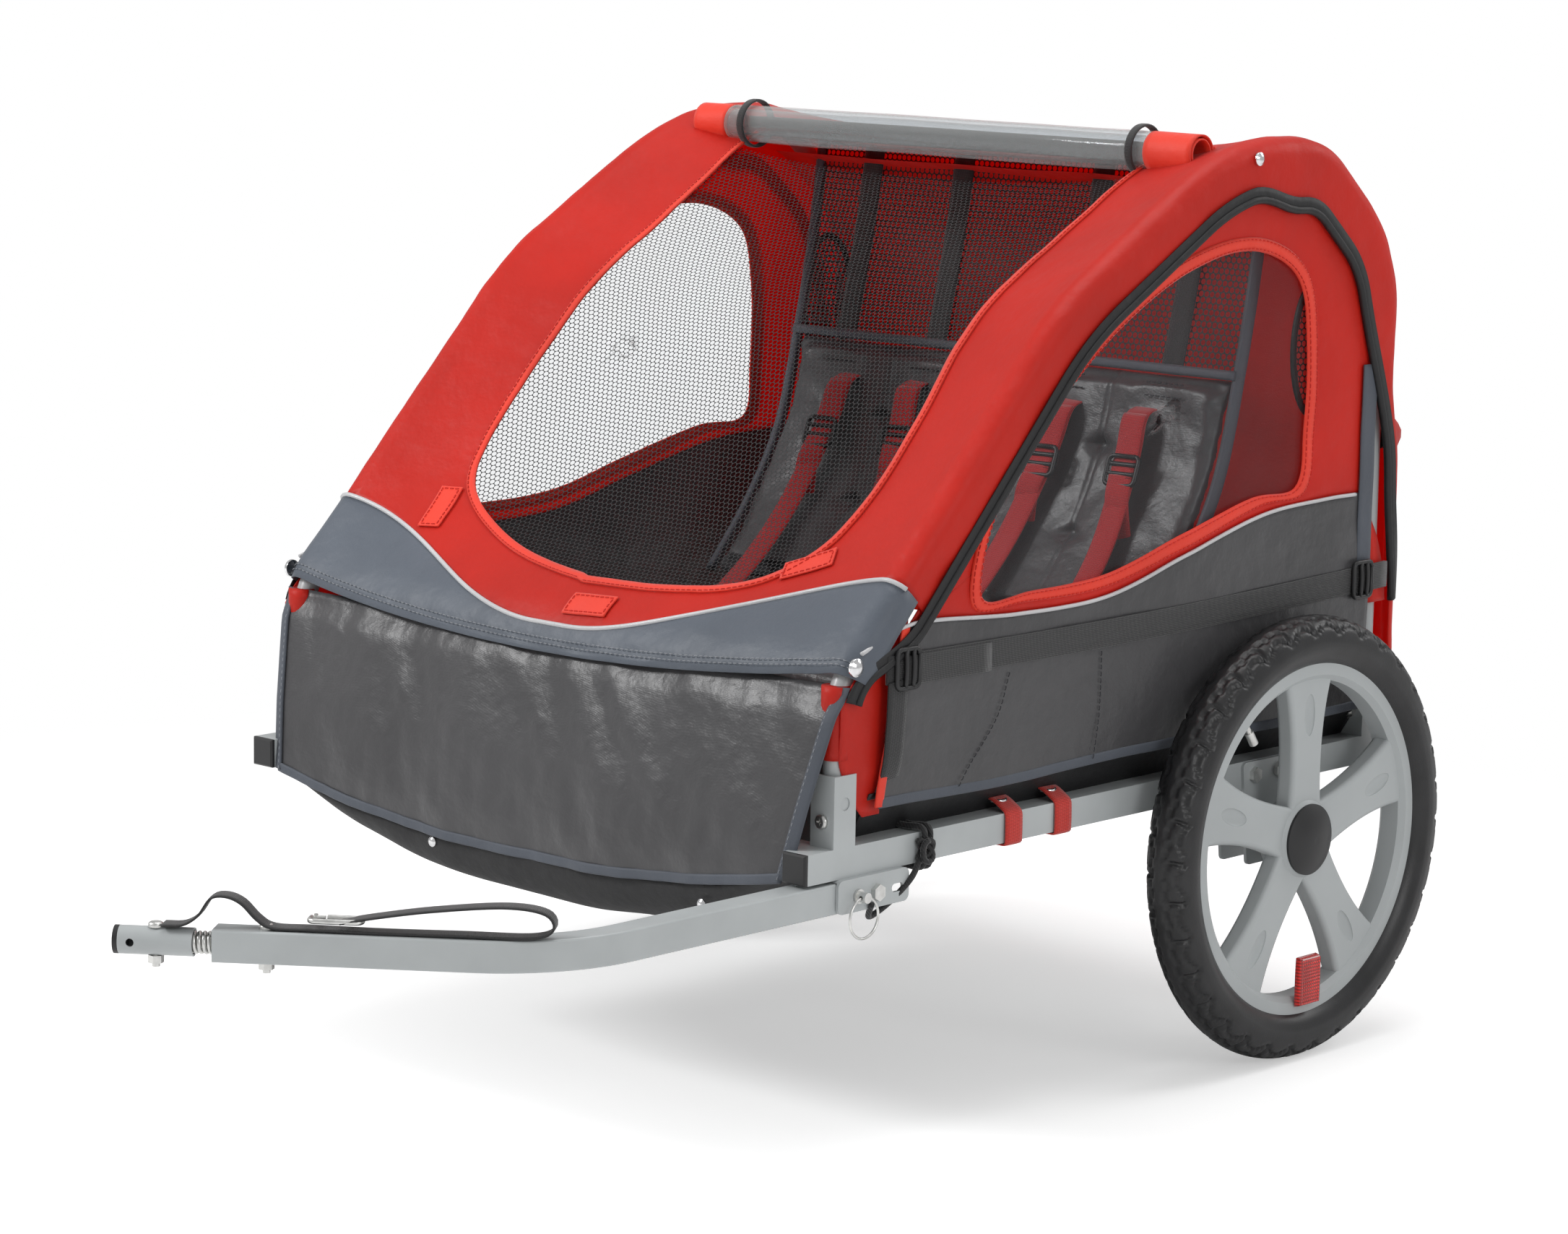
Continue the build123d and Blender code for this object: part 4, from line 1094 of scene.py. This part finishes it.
def front_corner(side, name):
    """Red cuff round the hoop leg, the red gusset behind it, and the black webbing beside it."""
    path = [(side * HOOP_X, -.560, z) for z in np.linspace(.338, .398, 10)]
    piece(f"{name}_cuff", tube(np.array(path), .0118, 20), "red")
    rows = []
    for z in np.linspace(.288, .448, 26):
        front = float(np.interp(z, [.288, .310, .336, .385, .400, .425, .448],
                                [-.536, -.556, -.566, -.567, -.556, -.532, -.505]))
        rear = float(np.interp(z, [.288, .350, .400, .448], [-.515, -.508, -.494, -.484]))
        line = []
        for t in np.linspace(0, 1, 10):
            y = front + (rear - front) * t
            wave = .0020 * ripple(y, z, side, 22, 13)
            out = .0045 * math.sin(math.pi * min(1, max(0, (z - .330) / .12))) * (1 - t)
            wave += .0016 * ripple(y * .4, z, side, 48, 14)
            line.append(np.array([side * (.3345 + wave + out), y, z]))
        rows.append(line)
    piece(f"{name}_gusset", grid(rows), "red", CLOTH, merge=FINE)
    path = spline([(side * .3452, -.507, .398), (side * .3455, -.509, .360), (side * .3430, -.512, .322),
                   (side * .3180, -.505, .276), (side * .3080, -.500, .250)], 40)
    belt(f"{name}_corner_webbing", path, (0, .99, .10), BELT_WIDTH, .0016, "black_web")


def rail_loops():
    """Red webbing loops that hold the floor to the rails, coming through the eyelets."""
    first = True
    for side, name in ((1, "left"), (-1, "right")):
        for k, y in enumerate((-.350, -.285)):
            x0, z0 = side * HOOP_X, RAIL_Z
            outline = [(-.012, .0232), (-.002, .0222), (.0075, .0172), (.0138, .0124), (.0148, .004),
                       (.0148, -.010), (.0138, -.0142), (.008, -.0146), (-.010, -.0146), (-.0142, -.0130),
                       (-.0148, -.004), (-.0150, .008), (-.0200, .0200)]
            section = spline(outline, 60)
            path = [(x0 + side * u, y, z0 + v) for u, v in section]
            nodes = ("rail_straps",) if first else ()
            first = False
            strap(f"{name}_rail_loop_{k}", path, (0, 1, 0), .022, .0016, MAT["loop_web"], nodes=nodes)


# ------------------------------------------------------------------ front panel and floor
FRONT_LINE = np.array([(-.6035, .205), (-.6025, .242), (-.592, .300), (-.580, .352), (-.5705, .392),
                       (-.569, .405)])


def front_y(z):
    return float(np.interp(z, FRONT_LINE[:, 1], FRONT_LINE[:, 0]))


def front_half(z):
    return float(np.interp(z, [.230, .400], [.306, .335]))


def front_panel():
    """Charcoal front panel, stretched between the canopy hem and the foot well."""
    rows, columns = 26, 150
    points = []
    for i in range(rows + 1):
        t = i / rows
        line = []
        for j in range(columns + 1):
            u = -1 + 2 * j / columns
            bottom = .212 + .029 * abs(u) ** 2.2
            z = bottom + (.398 - bottom) * t
            x = u * front_half(z)
            drape = .0062 * ripple(x, 0, z * .20, 13, 21) * (.40 + .60 * (1 - t)) * (1 - abs(u) ** 8)
            slant = .0034 * ripple(x + z * .7, 0, z * .5, 28, 22) * (1 - abs(u) ** 6)
            slant += .0012 * ripple(x, 0, z * .35, 64, 23) * (1 - abs(u) ** 6)
            bulge = -.004 * math.sin(math.pi * t) * (1 - u * u)
            line.append(np.array([x, front_y(z) - drape - slant + bulge + .0015
                                  + .0065 * float(smooth(.370, .396, z)), z]))
        points.append(line)
    piece("front_panel_fabric", grid(points), "charcoal", .0012, merge=FINE, nodes=("front_panel",),
          fold=FRONT_FOLD)
    for side, column, name in ((-1, 0, "right"), (1, -1, "left")):
        edge = np.array([row[column] for row in points]) + (side * .001, -.0006, 0)
        tape = strap(f"{name}_front_binding", edge, (1, .35 * side, 0), .012, .0026, MAT["slate_tape"])
        crumple(tape, **FRONT_FOLD)
        inner = edge + (-side * .0035, -.0022, 0)
        stitch_line(f"{name}_front_stitches", inner, (0, -1, 0), "thread_grey", fold=FRONT_FOLD)
    lower = np.array(points[0]) + (0, -.0010, .002)
    belt("front_bottom_binding", lower, (0, 0, 1), .009, .0022, "slate_tape", fold=FRONT_FOLD)


FLOOR = np.array([(-.5890, .234), (-.5950, .216), (-.5980, .204), (-.5840, .181), (-.5500, .168),
                  (-.470, .158), (-.390, .172), (-.310, .232),
                  (-.262, .261), (-.150, .264), (0, .264), (.150, .264)])


def floor():
    """Black floor with a sagging foot well in front."""
    path = spline(FLOOR, 120)
    rows = []
    for y, z in path:
        edge = float(np.interp(y, [-.60, -.56, .15], [.244, .255, .266]))
        line = []
        for u in np.linspace(-1, 1, 90):
            sag = (1 - abs(u) ** 3.2)
            height = edge - (edge - z) * sag + .0028 * ripple(u * .3, y, z, 16, 31) * sag
            line.append(np.array([u * .3105, y + .0015 * ripple(u * .3, y, 0, 20, 32), height]))
        rows.append(line)
    piece("floor_fabric", grid(rows), "black", .0018, merge=FINE, nodes=("floor_pan",),
          fold=None)
    for side, name in ((1, "left"), (-1, "right")):
        rows = []
        for t in np.linspace(0, 1, 9):
            line = []
            for y in np.linspace(-.530, .150, 90):
                base = np.array([side * .3095, y, .258])
                top = np.array([side * .3370, y, .306])
                p = base + (top - base) * t
                p[0] += side * .0022 * ripple(y, p[2], side, 20, 33)
                p[2] += .001 * ripple(y, p[2], side, 15, 34)
                line.append(p)
            rows.append(line)
        piece(f"{name}_floor_skirt", grid(rows), "black", .0012, merge=FINE, fold=SKIRT_FOLD)


# ------------------------------------------------------------------ seat
SEAT_LINE = spline([(-.098, .372), (-.042, .440), (0, .512), (.026, .610), (.044, .700), (.056, .788)], 200)
SEAT_HALF = .270
SEAT_TOP = .602
HEAD_WEBBING = (-.200, -.085, .085, .200)


def seat_y(z):
    return float(np.interp(z, SEAT_LINE[:, 1], SEAT_LINE[:, 0]))


def inflate(obj, cap, cell=.0055, pressure=4.0):
    """Swells a closed soft form by cloth simulation and smooths it."""
    remesh = obj.modifiers.new("remesh", "REMESH")
    remesh.mode = "VOXEL"
    remesh.voxel_size = cell
    apply_modifiers(obj)
    before = np.empty(len(obj.data.vertices) * 3)
    obj.data.vertices.foreach_get("co", before)
    before = before.reshape(-1, 3)
    cloth = obj.modifiers.new("cloth", "CLOTH")
    settings = cloth.settings
    settings.use_pressure = True
    settings.uniform_pressure_force = pressure
    settings.effector_weights.gravity = 0
    settings.quality = 5
    settings.tension_stiffness = 12
    settings.compression_stiffness = 12
    settings.bending_stiffness = .4
    cloth.point_cache.frame_start = 1
    cloth.point_cache.frame_end = 20
    for frame_number in range(1, 21):
        bpy.context.scene.frame_set(frame_number)
    deps = bpy.context.evaluated_depsgraph_get()
    moved = obj.evaluated_get(deps).data
    after = np.empty(len(moved.vertices) * 3)
    moved.vertices.foreach_get("co", after)
    after = after.reshape(-1, 3)
    step = after - before
    far = np.linalg.norm(step, axis=1)
    scale = np.minimum(1, cap / np.maximum(far, 1e-9))
    obj.modifiers.clear()
    obj.data.vertices.foreach_set("co", (before + step * scale[:, None]).ravel())
    obj.data.update()
    bpy.context.scene.frame_set(1)
    subdivide = obj.modifiers.new("smooth", "SUBSURF")
    subdivide.levels = 1
    apply_modifiers(obj)
    obj.data.polygons.foreach_set("use_smooth", [True] * len(obj.data.polygons))


def slab(name, centre_points, half, thickness, material):
    """Closed pad along a side-view line."""
    line = resample(np.array(centre_points), 24)
    tangent = np.gradient(line, axis=0)
    tangent /= np.linalg.norm(tangent, axis=1)[:, None]
    normal = np.stack([-tangent[:, 1], tangent[:, 0]], 1)
    xs = np.linspace(-half, half, 30)
    top, low = ([[(x, y + n[0] * half_depth, z + n[1] * half_depth) for x in xs]
                 for (y, z), n in zip(line, normal)] for half_depth in (thickness / 2, -thickness / 2))
    verts, faces = join(grid(top), grid(low))
    count, columns, rows = len(xs) * len(line), len(xs), len(line)
    faces = list(faces)
    for j in range(columns - 1):
        for base in (0, (rows - 1) * columns):
            faces.append((base + j, base + j + 1, base + j + 1 + count, base + j + count))
    for i in range(rows - 1):
        for edge in (0, columns - 1):
            a = i * columns + edge
            faces.append((a, a + columns, a + columns + count, a + count))
    obj = mesh_object(name, verts, faces, material, None)
    weld(obj, FINE)
    return obj


def press(obj, depth_at):
    """Moves each vertex by the vector depth_at gives for its place."""
    for vertex in obj.data.vertices:
        vertex.co += Vector(depth_at(vertex.co))
    obj.data.update()


def seat():
    """Seat cushion, quilted back, mesh head part with its webbing, and bound edges."""
    cushion = slab("seat_cushion", [(-.330, .338), (-.220, .332), (-.120, .338)], SEAT_HALF - .006, .020,
                   MAT["charcoal"])
    inflate(cushion, .008)
    press(cushion, lambda c: (0, 0, -.0035 * math.exp(-(c.x / .006) ** 2)
                              - .0020 * math.exp(-(((c.y - AXLE_Y + .225) / .005) ** 2)) if c.z > .336
                              else 0))
    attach(cushion, "frame")
    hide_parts("seat_base")
    low = SEAT_LINE[SEAT_LINE[:, 1] < SEAT_TOP]
    back = slab("seat_back_pad", low + (.010, 0), SEAT_HALF - .006, .011, MAT["charcoal"])
    inflate(back, .006)

    def quilt(c):
        column = abs(math.sin(c.x * math.pi / .135))
        row = abs(math.sin((c.z - .372) * math.pi / .078))
        tuft = math.exp(-((1 - (1 - column) * (1 - row)) / .30) ** 2) * .009
        seam = .0022 * math.exp(-(column / .05) ** 2) * (c.z > .40)
        crease = .0030 * ripple(c.x * 1.6, 0, c.z * .7, 14, 41) + .0018 * ripple(c.x, 0, c.z, 36, 42)
        return (0, tuft + seam + crease, 0)

    press(back, quilt)
    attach(back, "frame")
    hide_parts("seat_back")
    crumple(back, **SEAT_FOLD)
    high = SEAT_LINE[SEAT_LINE[:, 1] >= SEAT_TOP - .006]
    line = resample(high, 34)
    verts, faces = grid([[(x, y + .008 + .0035 * ripple(x, 0, z, 12, 43), z)
                          for x in np.linspace(-SEAT_HALF, SEAT_HALF, 60)] for y, z in line])
    obj = mesh_object("seat_head_net", verts, faces, MAT["coarse_net"], uvs=[(x, z) for x, _, z in verts])
    crumple(obj, **SEAT_FOLD)
    for k, x in enumerate(HEAD_WEBBING):
        path = [(x + .004 * math.sin(z * 9), y + .0055, z) for y, z in line]
        belt(f"head_webbing_{k}", path, (1, 0, 0), HARNESS_WIDTH, .0018, "black_web", fold=SEAT_FOLD)
    for side, name in ((1, "left"), (-1, "right")):
        path = [(side * SEAT_HALF, seat_y(z) + .010, z) for z in np.linspace(.375, .786, 60)]
        belt(f"{name}_seat_binding", path, (side, -.6, 0), .011, .008, "slate_tape", fold=SEAT_FOLD)
    path = [(x, seat_y(SEAT_TOP) + .0035, SEAT_TOP) for x in np.linspace(-SEAT_HALF, SEAT_HALF, 60)]
    belt("seat_top_tape", path, (0, .2, 1), .009, .004, "slate_tape", fold=SEAT_FOLD)
    for k, x in enumerate(HEAD_WEBBING):
        for row, z in enumerate((.578, .590)):
            path = [(x + u, seat_y(z) - .0035, z) for u in np.linspace(-.022, .022, 10)]
            stitch_line(f"slot_stitches_{k}_{row}", path, (0, -1, 0), "thread_dark", radius=.0007,
                        fold=SEAT_FOLD)


HARNESS = (-.180, -.095, .095, .180)


def harness():
    """Red shoulder straps with ladder locks, running down to the front of the seat."""
    for k, x in enumerate(HARNESS):
        lean = .012 if x in (-.095, .180) else -.012
        out = .015
        path = spline([(x, seat_y(.566) + .002, .566), (x + lean * .1, seat_y(.560) - out, .558),
                       (x + lean * .4, seat_y(.520) - out - .004, .520),
                       (x + lean, seat_y(.450) - out - .006, .450),
                       (x + lean * 1.3, seat_y(.400) - out - .012, .400),
                       (x + lean * 1.4, -.150, .364)], 70)
        nodes = ("harness_straps",) if k == 0 else ()
        belt(f"harness_strap_{k}", path, (1, .10, 0), HARNESS_WIDTH, .0018, "red_web", nodes=nodes,
             fold=SEAT_FOLD)
        upper = path[path[:, 2] > .505] + (0, -.0035, 0)
        belt(f"harness_doubled_{k}", upper[4:], (1, .10, 0), HARNESS_WIDTH, .0016, "red_web", fold=SEAT_FOLD)
        mid = path[np.argmin(abs(path[:, 2] - .512))]
        tail = spline([mid + (0, -.006, -.004), mid + (lean * .4, -.017, -.030),
                       mid + (lean, -.015, -.085)], 30)
        belt(f"harness_tail_{k}", tail, (1, .15, 0), HARNESS_WIDTH, .0016, "red_web", fold=SEAT_FOLD)
        lock = ladder_lock(f"harness_lock_{k}", mid + (0, -.0052, 0), (0, .35, 1), (1, .1, 0))
        if k == 0:
            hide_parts("strap_buckles")
        crumple(lock, **SEAT_FOLD)


def cabin_vent():
    """Oval pocket of coarse net on each inner side behind the seat."""
    for side, name in ((1, "left"), (-1, "right")):
        verts, uvs, faces = [], [], []
        centre = np.array([side * .300, .108, .625])
        for ring in range(8):
            for k in range(40):
                angle = 2 * math.pi * k / 40
                u, v = .034 * ring / 7 * math.cos(angle), .062 * ring / 7 * math.sin(angle)
                verts.append(centre + (side * .004 * (1 - (ring / 7) ** 2), u, v))
                uvs.append((u, v))
        for ring in range(7):
            for k in range(40):
                a, b = ring * 40 + k, ring * 40 + (k + 1) % 40
                faces.append((a, b, b + 40, a + 40))
        obj = mesh_object(f"{name}_cabin_net", verts, faces, MAT["coarse_net"], uvs=uvs)
        crumple(obj)
        rim = [centre + (0, .034 * math.cos(t), .062 * math.sin(t))
               for t in np.linspace(0, 2 * math.pi, 48, endpoint=False)]
        piece(f"{name}_cabin_net_rim", tube(np.array(rim), .0030, 8, True), "black")


# ------------------------------------------------------------------ roof
def rain_cover():
    """Rolled clear cover on the roof, bound in red at both ends, held by two elastic loops."""
    centre = np.array([-.070, .806])
    turns, steps = 2.35, 90

    def spiral(x):
        points = []
        for t in np.linspace(0, 1, steps):
            radius = .0105 + .0088 * t + .0012 * ripple(x, t, 0, 9, 51)
            angle = -1.9 + turns * 2 * math.pi * t
            points.append(np.array([x, centre[0] + radius * math.cos(angle),
                                    centre[1] + radius * math.sin(angle)]))
        return points

    for name, low, high, count, look, thick, nodes in (
            ("rain_cover_sheet", -.262, .250, 60, "roll", .0009, ("rain_cover_roll",)),
            ("rain_cover_right_end", -.300, -.260, 9, "red_in", .0016, ()),
            ("rain_cover_left_end", .248, .300, 9, "red_in", .0016, ())):
        sheet = grid([spiral(x) for x in np.linspace(low, high, count)])
        piece(name, sheet, look, thick, nodes=nodes)
    for side, name in ((1, "left"), (-1, "right")):
        ring = [(side * .235, centre[0] + .0218 * math.cos(t), centre[1] + .0218 * math.sin(t))
                for t in np.linspace(0, 2 * math.pi, 40)]
        nodes = ("cover_loops",) if side == 1 else ()
        belt(f"{name}_cover_loop", ring, (1, 0, 0), .0085, .0022, "black_web", nodes=nodes)


def patches():
    """Hook-and-loop patches on the front, each sewn round its edge."""
    places = [(-.228, .487, -79), (.030, .428, 3), (.219, .488, 26)]
    for k, (x, z, turn) in enumerate(places):
        s0 = PROFILE.s_front(z)
        turn = math.radians(turn)

        def on_front(u, v, lift):
            return surface(s0 + u * math.sin(turn) + v * math.cos(turn),
                           x + u * math.cos(turn) - v * math.sin(turn), lift)

        rows = [[on_front(u, v, .0018) for u in np.linspace(-.025, .025, 26)]
                for v in np.linspace(-.011, .011, 12)]
        piece(f"patch_{k}", grid(rows), "red_in", .0014, merge=FINE)
        edge = [(-.0225, -.0085), (.0225, -.0085), (.0225, .0085), (-.0225, .0085), (-.0225, -.0085)]
        path = [on_front(u, v, .0028) for u, v in resample(np.array(edge), 60)]
        stitch_line(f"patch_stitches_{k}", path, (0, -.8, .6), "thread_red")


def snaps():
    """Domed snap fasteners: corners and roof edges on the canopy, two on the foot well."""
    def dome(place, direction, size):
        place, direction = np.array(place), np.array(direction, float)
        first = np.cross(direction, (0, 0, 1.0))
        second = np.cross(direction, first)
        profile = [(0, .50), (.35, .47), (.65, .37), (.85, .24), (.98, .12), (1.12, .10), (1.16, .02),
                   (1.12, -.3)]
        rows = [[place + size * (direction * up + radius * (first * math.cos(t) + second * math.sin(t)))
                 for t in np.linspace(0, 2 * math.pi, 25)] for radius, up in profile]
        return grid(rows)

    upper = [dome((side * x, y, z), (side, 0, 0), size) for side in (1, -1)
             for x, y, z, size in ((.3440, -.556, .414, .0068), (.3445, -.045, .803, .0052))]
    lower = [dome((x, -.6005, .206), (0, -1, 0), .0040) for x in (-.107, .218)]
    piece("canopy_snaps", join(*upper), "chrome", merge=FINE, nodes=("dome_snaps",))
    piece("foot_well_snaps", join(*lower), "chrome", merge=FINE, fold=None)


# ------------------------------------------------------------------ wheels
def tyre(side, name):
    """Road tyre with scalloped shoulder blocks."""
    rings, sections = 1080, 46
    limit, tread = math.radians(148), math.radians(64)
    pitches = 34
    angles = np.linspace(0, 2 * math.pi, rings, endpoint=False)[:, None]
    phi = np.linspace(-limit, limit, sections)[None, :]
    v = phi / tread
    u = angles * pitches / (2 * math.pi)
    wave = np.cos(2 * math.pi * (u + .25 * np.sign(v)))
    scallop = np.exp(-(((abs(v) - .80 - .15 * wave) / .045) ** 2))
    spoke = np.exp(-((np.sin(math.pi * (u + .25 * np.sign(v) + .10 * v))
                      / .16) ** 2)) * (abs(v) > .42) * (abs(v) < .98)
    zigzag = np.exp(-(((abs(v) - .30 - .05 * np.sin(4 * math.pi * u)) / .05) ** 2))
    groove = np.clip(scallop + spoke + zigzag, 0, 1) * (abs(v) < 1.05)
    shoulder = .0009 * (1 / (1 + np.exp((abs(v) - 1.02) / .03)))
    wall_ridge = .0006 * np.exp(-(((abs(phi) - math.radians(100)) / .05) ** 2))
    section, middle = .0228, .1765      # radii of the tyre's section and of its middle line
    radius = section + shoulder + wall_ridge - .0031 * groove
    out = middle + radius * np.cos(phi)
    x = side * (WHEEL_X + radius * np.sin(phi) + 0 * angles)
    y = out * np.sin(angles)
    z = WHEEL_Z + out * np.cos(angles)
    verts = np.stack([x, y, z], -1).reshape(-1, 3)
    faces = []
    for i in range(rings):
        n = (i + 1) % rings
        for j in range(sections - 1):
            faces.append((i * sections + j, n * sections + j, n * sections + j + 1, i * sections + j + 1))
    obj = mesh_object(f"{name}_tread", verts, faces, MAT["rubber"], None)
    if side < 0:
        obj.data.flip_normals()
    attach(obj, f"{name}_wheel")
    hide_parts(f"{name}_tyre")


def reflector(side, name):
    """Prismatic reflector with a plain raised rim, clipped into the wheel below the hub."""
    middle_x, middle_z, half_y, half_z = WHEEL_X + .0145, .072, .0150, .0220
    rows = []
    for v in np.linspace(-1, 1, 53):
        line = []
        for u in np.linspace(-1, 1, 45):
            edge = max(abs(u), abs(v))
            prism = .0010 * abs(math.sin(u * 11 * math.pi / 2)) * abs(math.sin(v * 13 * math.pi / 2))
            height = .0062 - .0060 * float(smooth(.93, 1, edge)) + (prism if edge < .86 else .0008)
            line.append(np.array([side * (middle_x + height), u * half_y * (1 - .04 * v * v),
                                  middle_z + v * half_z]))
        rows.append(line)
    verts, faces = grid(rows)
    obj = mesh_object(f"{name}_reflector_lens", verts, faces, MAT["lens"], None)
    weld(obj, FINE)
    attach(obj, f"{name}_wheel")
    thicken(obj, .0012, 0)
    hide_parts(f"{name}_reflector")


# ------------------------------------------------------------------ tow arm
ARM_TIP = np.array([.115, -1.029, .2259])
ARM_DIR = np.array([.115 - .3273, -1.029 + .867, 0])
ARM_DIR /= np.linalg.norm(ARM_DIR)
ARM_SIDE = np.array([-ARM_DIR[1], ARM_DIR[0], 0])


def arm_point(along, up):
    return ARM_TIP + ARM_DIR * along + np.array([0, 0, up])


def safety_strap():
    """Ribbed webbing: bolted to the coupler, arched over the spring, then doubled back along the arm."""
    top = .0127 + .0012
    profile = [(.040, .0135), (.024, .0145), (.012, .022), (.002, .036), (-.010, .038), (-.022, .033),
               (-.034, .021), (-.046, top + .001), (-.075, top + .0006), (-.13, top), (-.19, top + .0005),
               (-.245, top + .001), (-.262, top + .008), (-.256, top + .020), (-.225, top + .024),
               (-.17, top + .019), (-.125, top + .012), (-.098, top + .0065)]
    path = [arm_point(a, u) for a, u in spline(profile, 150)]
    strap_obj = strap("safety_webbing", path, ARM_SIDE, .0185, .0017, MAT["black_web"], None)
    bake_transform(strap_obj)
    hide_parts("safety_strap")


def tether():
    """Cord from the lock pin to the rail, knotted round the rail."""
    start = np.mean([tuple(corner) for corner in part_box("lock_pin")], axis=0) - (0, AXLE_Y, 0)
    half = RAIL_HALF + .003
    y0 = -.470
    x0, z0 = HOOP_X, RAIL_Z
    loops = []
    for shift in (0, .007):
        ring = []
        for u, v in ((-1, -1), (-1, 0), (-1, 1), (0, 1.05), (1, 1), (1.08, 0), (1, -1), (0, -1.08), (-1, -1)):
            ring.append((x0 + u * half, y0 + shift + .003 * u, z0 + v * half))
        loops.append(tube(spline(ring, 60), .0026, 8))
    knot = [(x0 + half + .003 + .004 * math.cos(t), y0 + .003 + .006 * math.sin(2 * t),
             z0 - .002 + .009 * math.cos(t * 1.5))
            for t in np.linspace(0, 4 * math.pi, 60)]
    loops.append(tube(np.array(knot), .0024, 8))
    path = spline([(x0 + half + .001, y0, z0 - .006), (x0 + half + .004, y0 - .015, z0 - .022),
                   (x0 + half - .002, y0 - .034, z0 - .040), (x0 + .010, y0 - .055, z0 - .050),
                   (start[0], start[1] + .012, start[2] - .008)], 50)
    loops.append(tube(path, .0026, 8))
    verts, faces = join(*loops)
    obj = mesh_object("pin_cord", verts, faces, MAT["plain_black_web"], "frame", ("pin_tether",))


# ------------------------------------------------------------------ CAD parts kept as they are
def finish_nodes():
    """Materials of the CAD parts that stay."""
    groups = {
        "paint": ["left_rail", "right_rail", "front_cross_tube", "rear_cross_tube", "hoop_sockets",
                  "arm_bracket", "axle_carriers", "left_hoop", "right_hoop", "rear_crossbar",
                  "tow_arm_tube", "coupler_tube"],
        "black_plastic": ["rail_end_plugs", "crossbar_caps", "coupler_plug", "left_hub_cap", "right_hub_cap"],
        "zinc": ["socket_bolts", "arm_pivot_bolt", "carrier_bolts", "wheel_axles", "axle_nuts",
                 "arm_end_bolt", "coupling_spring", "coupler_bolt", "snap_hook", "snap_gate", "lock_pin",
                 "pin_ring", "left_valve", "right_valve", "left_hub_bearings", "right_hub_bearings"],
        "chrome": ["strap_grommets"],
        "rim": ["left_rim", "right_rim"],
        "rubber": ["left_inner_tube", "right_inner_tube"],
    }
    for key, names in groups.items():
        for name in names:
            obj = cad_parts[name]
            obj.data.materials.clear()
            obj.data.materials.append(MAT[key])


# ------------------------------------------------------------------ studio
def studio():
    """White floor and surround, four area lights and the camera of the photograph."""
    scene = bpy.context.scene
    bpy.ops.mesh.primitive_plane_add(size=30)
    ground = bpy.context.object
    ground.name = "studio_floor"
    m = Coat("studio_white", (.86, .86, .86), .9)
    m.put("Specular IOR Level", .1)
    # Seen directly, the floor fades into the white surround; it lights the object as plain white.
    fade = m.node("MapRange")
    fade.interpolation_type = "SMOOTHSTEP"
    fade.inputs["From Min"].default_value = .7
    fade.inputs["From Max"].default_value = 1.7
    m.link(m.vector("LENGTH", m.node("NewGeometry").outputs["Position"]), fade.inputs["Value"])
    seen = m.node("LightPath").outputs["Is Camera Ray"]
    soft, added = m.node("Emission"), m.node("AddShader")
    m.link(m.math("MULTIPLY", seen, .40), soft.inputs["Strength"])
    m.link(m.shader.outputs[0], added.inputs[0])
    m.link(soft.outputs[0], added.inputs[1])
    m.mixed(m.math("MULTIPLY", seen, fade.outputs["Result"]), added, m.node("Emission"))
    ground.data.materials.append(m.material)
    lights = [("key", (-2.4, -3.6, 3.2), 120, 1.2), ("fill", (4.4, -1.0, 2.0), 34, 1.6),
              ("top", (.2, .3, 3.8), 48, 2.2), ("rim", (1.5, 3.6, 2.6), 26, 1.6)]
    for name, place, power, size in lights:
        data = bpy.data.lights.new(name, "AREA")
        data.energy = power
        data.size = size
        obj = bpy.data.objects.new(name, data)
        obj.location = place
        obj.location.y += AXLE_Y
        obj.rotation_euler = (Vector((0, -.1, .45)) - Vector(place)).to_track_quat("-Z", "Y").to_euler()
        scene.collection.objects.link(obj)
    world = bpy.data.worlds.new("studio")
    sky = Tree(world)
    background = sky.nodes["Background"]
    background.inputs["Color"].default_value = (1, 1, 1, 1)
    extra = sky.math("MULTIPLY", sky.node("LightPath").outputs["Is Camera Ray"], .50)
    sky.link(sky.math("ADD", extra, .50), background.inputs["Strength"])
    scene.world = world
    scene.view_settings.view_transform = "Standard"
    camera_data = bpy.data.cameras.new("camera")
    camera_data.sensor_width = 36
    camera_data.lens = 102.255
    camera = bpy.data.objects.new("camera", camera_data)
    scene.collection.objects.link(camera)
    yaw, pitch, roll = .747, .164, .018
    forward = Vector((-math.sin(yaw) * math.cos(pitch), math.cos(yaw) * math.cos(pitch), -math.sin(pitch)))
    right = Vector((math.cos(yaw), math.sin(yaw), 0))
    up = right.cross(forward)
    right2 = right * math.cos(roll) + up * math.sin(roll)
    up2 = up * math.cos(roll) - right * math.sin(roll)
    matrix = Matrix((right2, up2, -forward)).transposed().to_4x4()
    matrix.translation = Vector((2.6846, -3.1705 + AXLE_Y, 1.0351))
    camera.matrix_world = matrix
    scene.camera = camera


# ------------------------------------------------------------------ build
side_s, rear_s = canopy()
rear_lining()
front_band()
opening_binding()
front_screen()
black_piping(side_s, rear_s)
for side, name in ((1, "left"), (-1, "right")):
    red_side(side, name)
    window(side, name, ("side_windows",) if side == 1 else ())
    grey_side(side, name, f"{name}_side_panel")
    front_corner(side, name)
    tyre(side, name)
    reflector(side, name)
belts()
rail_loops()
front_panel()
floor()
seat()
harness()
cabin_vent()
rain_cover()
patches()
snaps()
safety_strap()
tether()
finish_nodes()
studio()
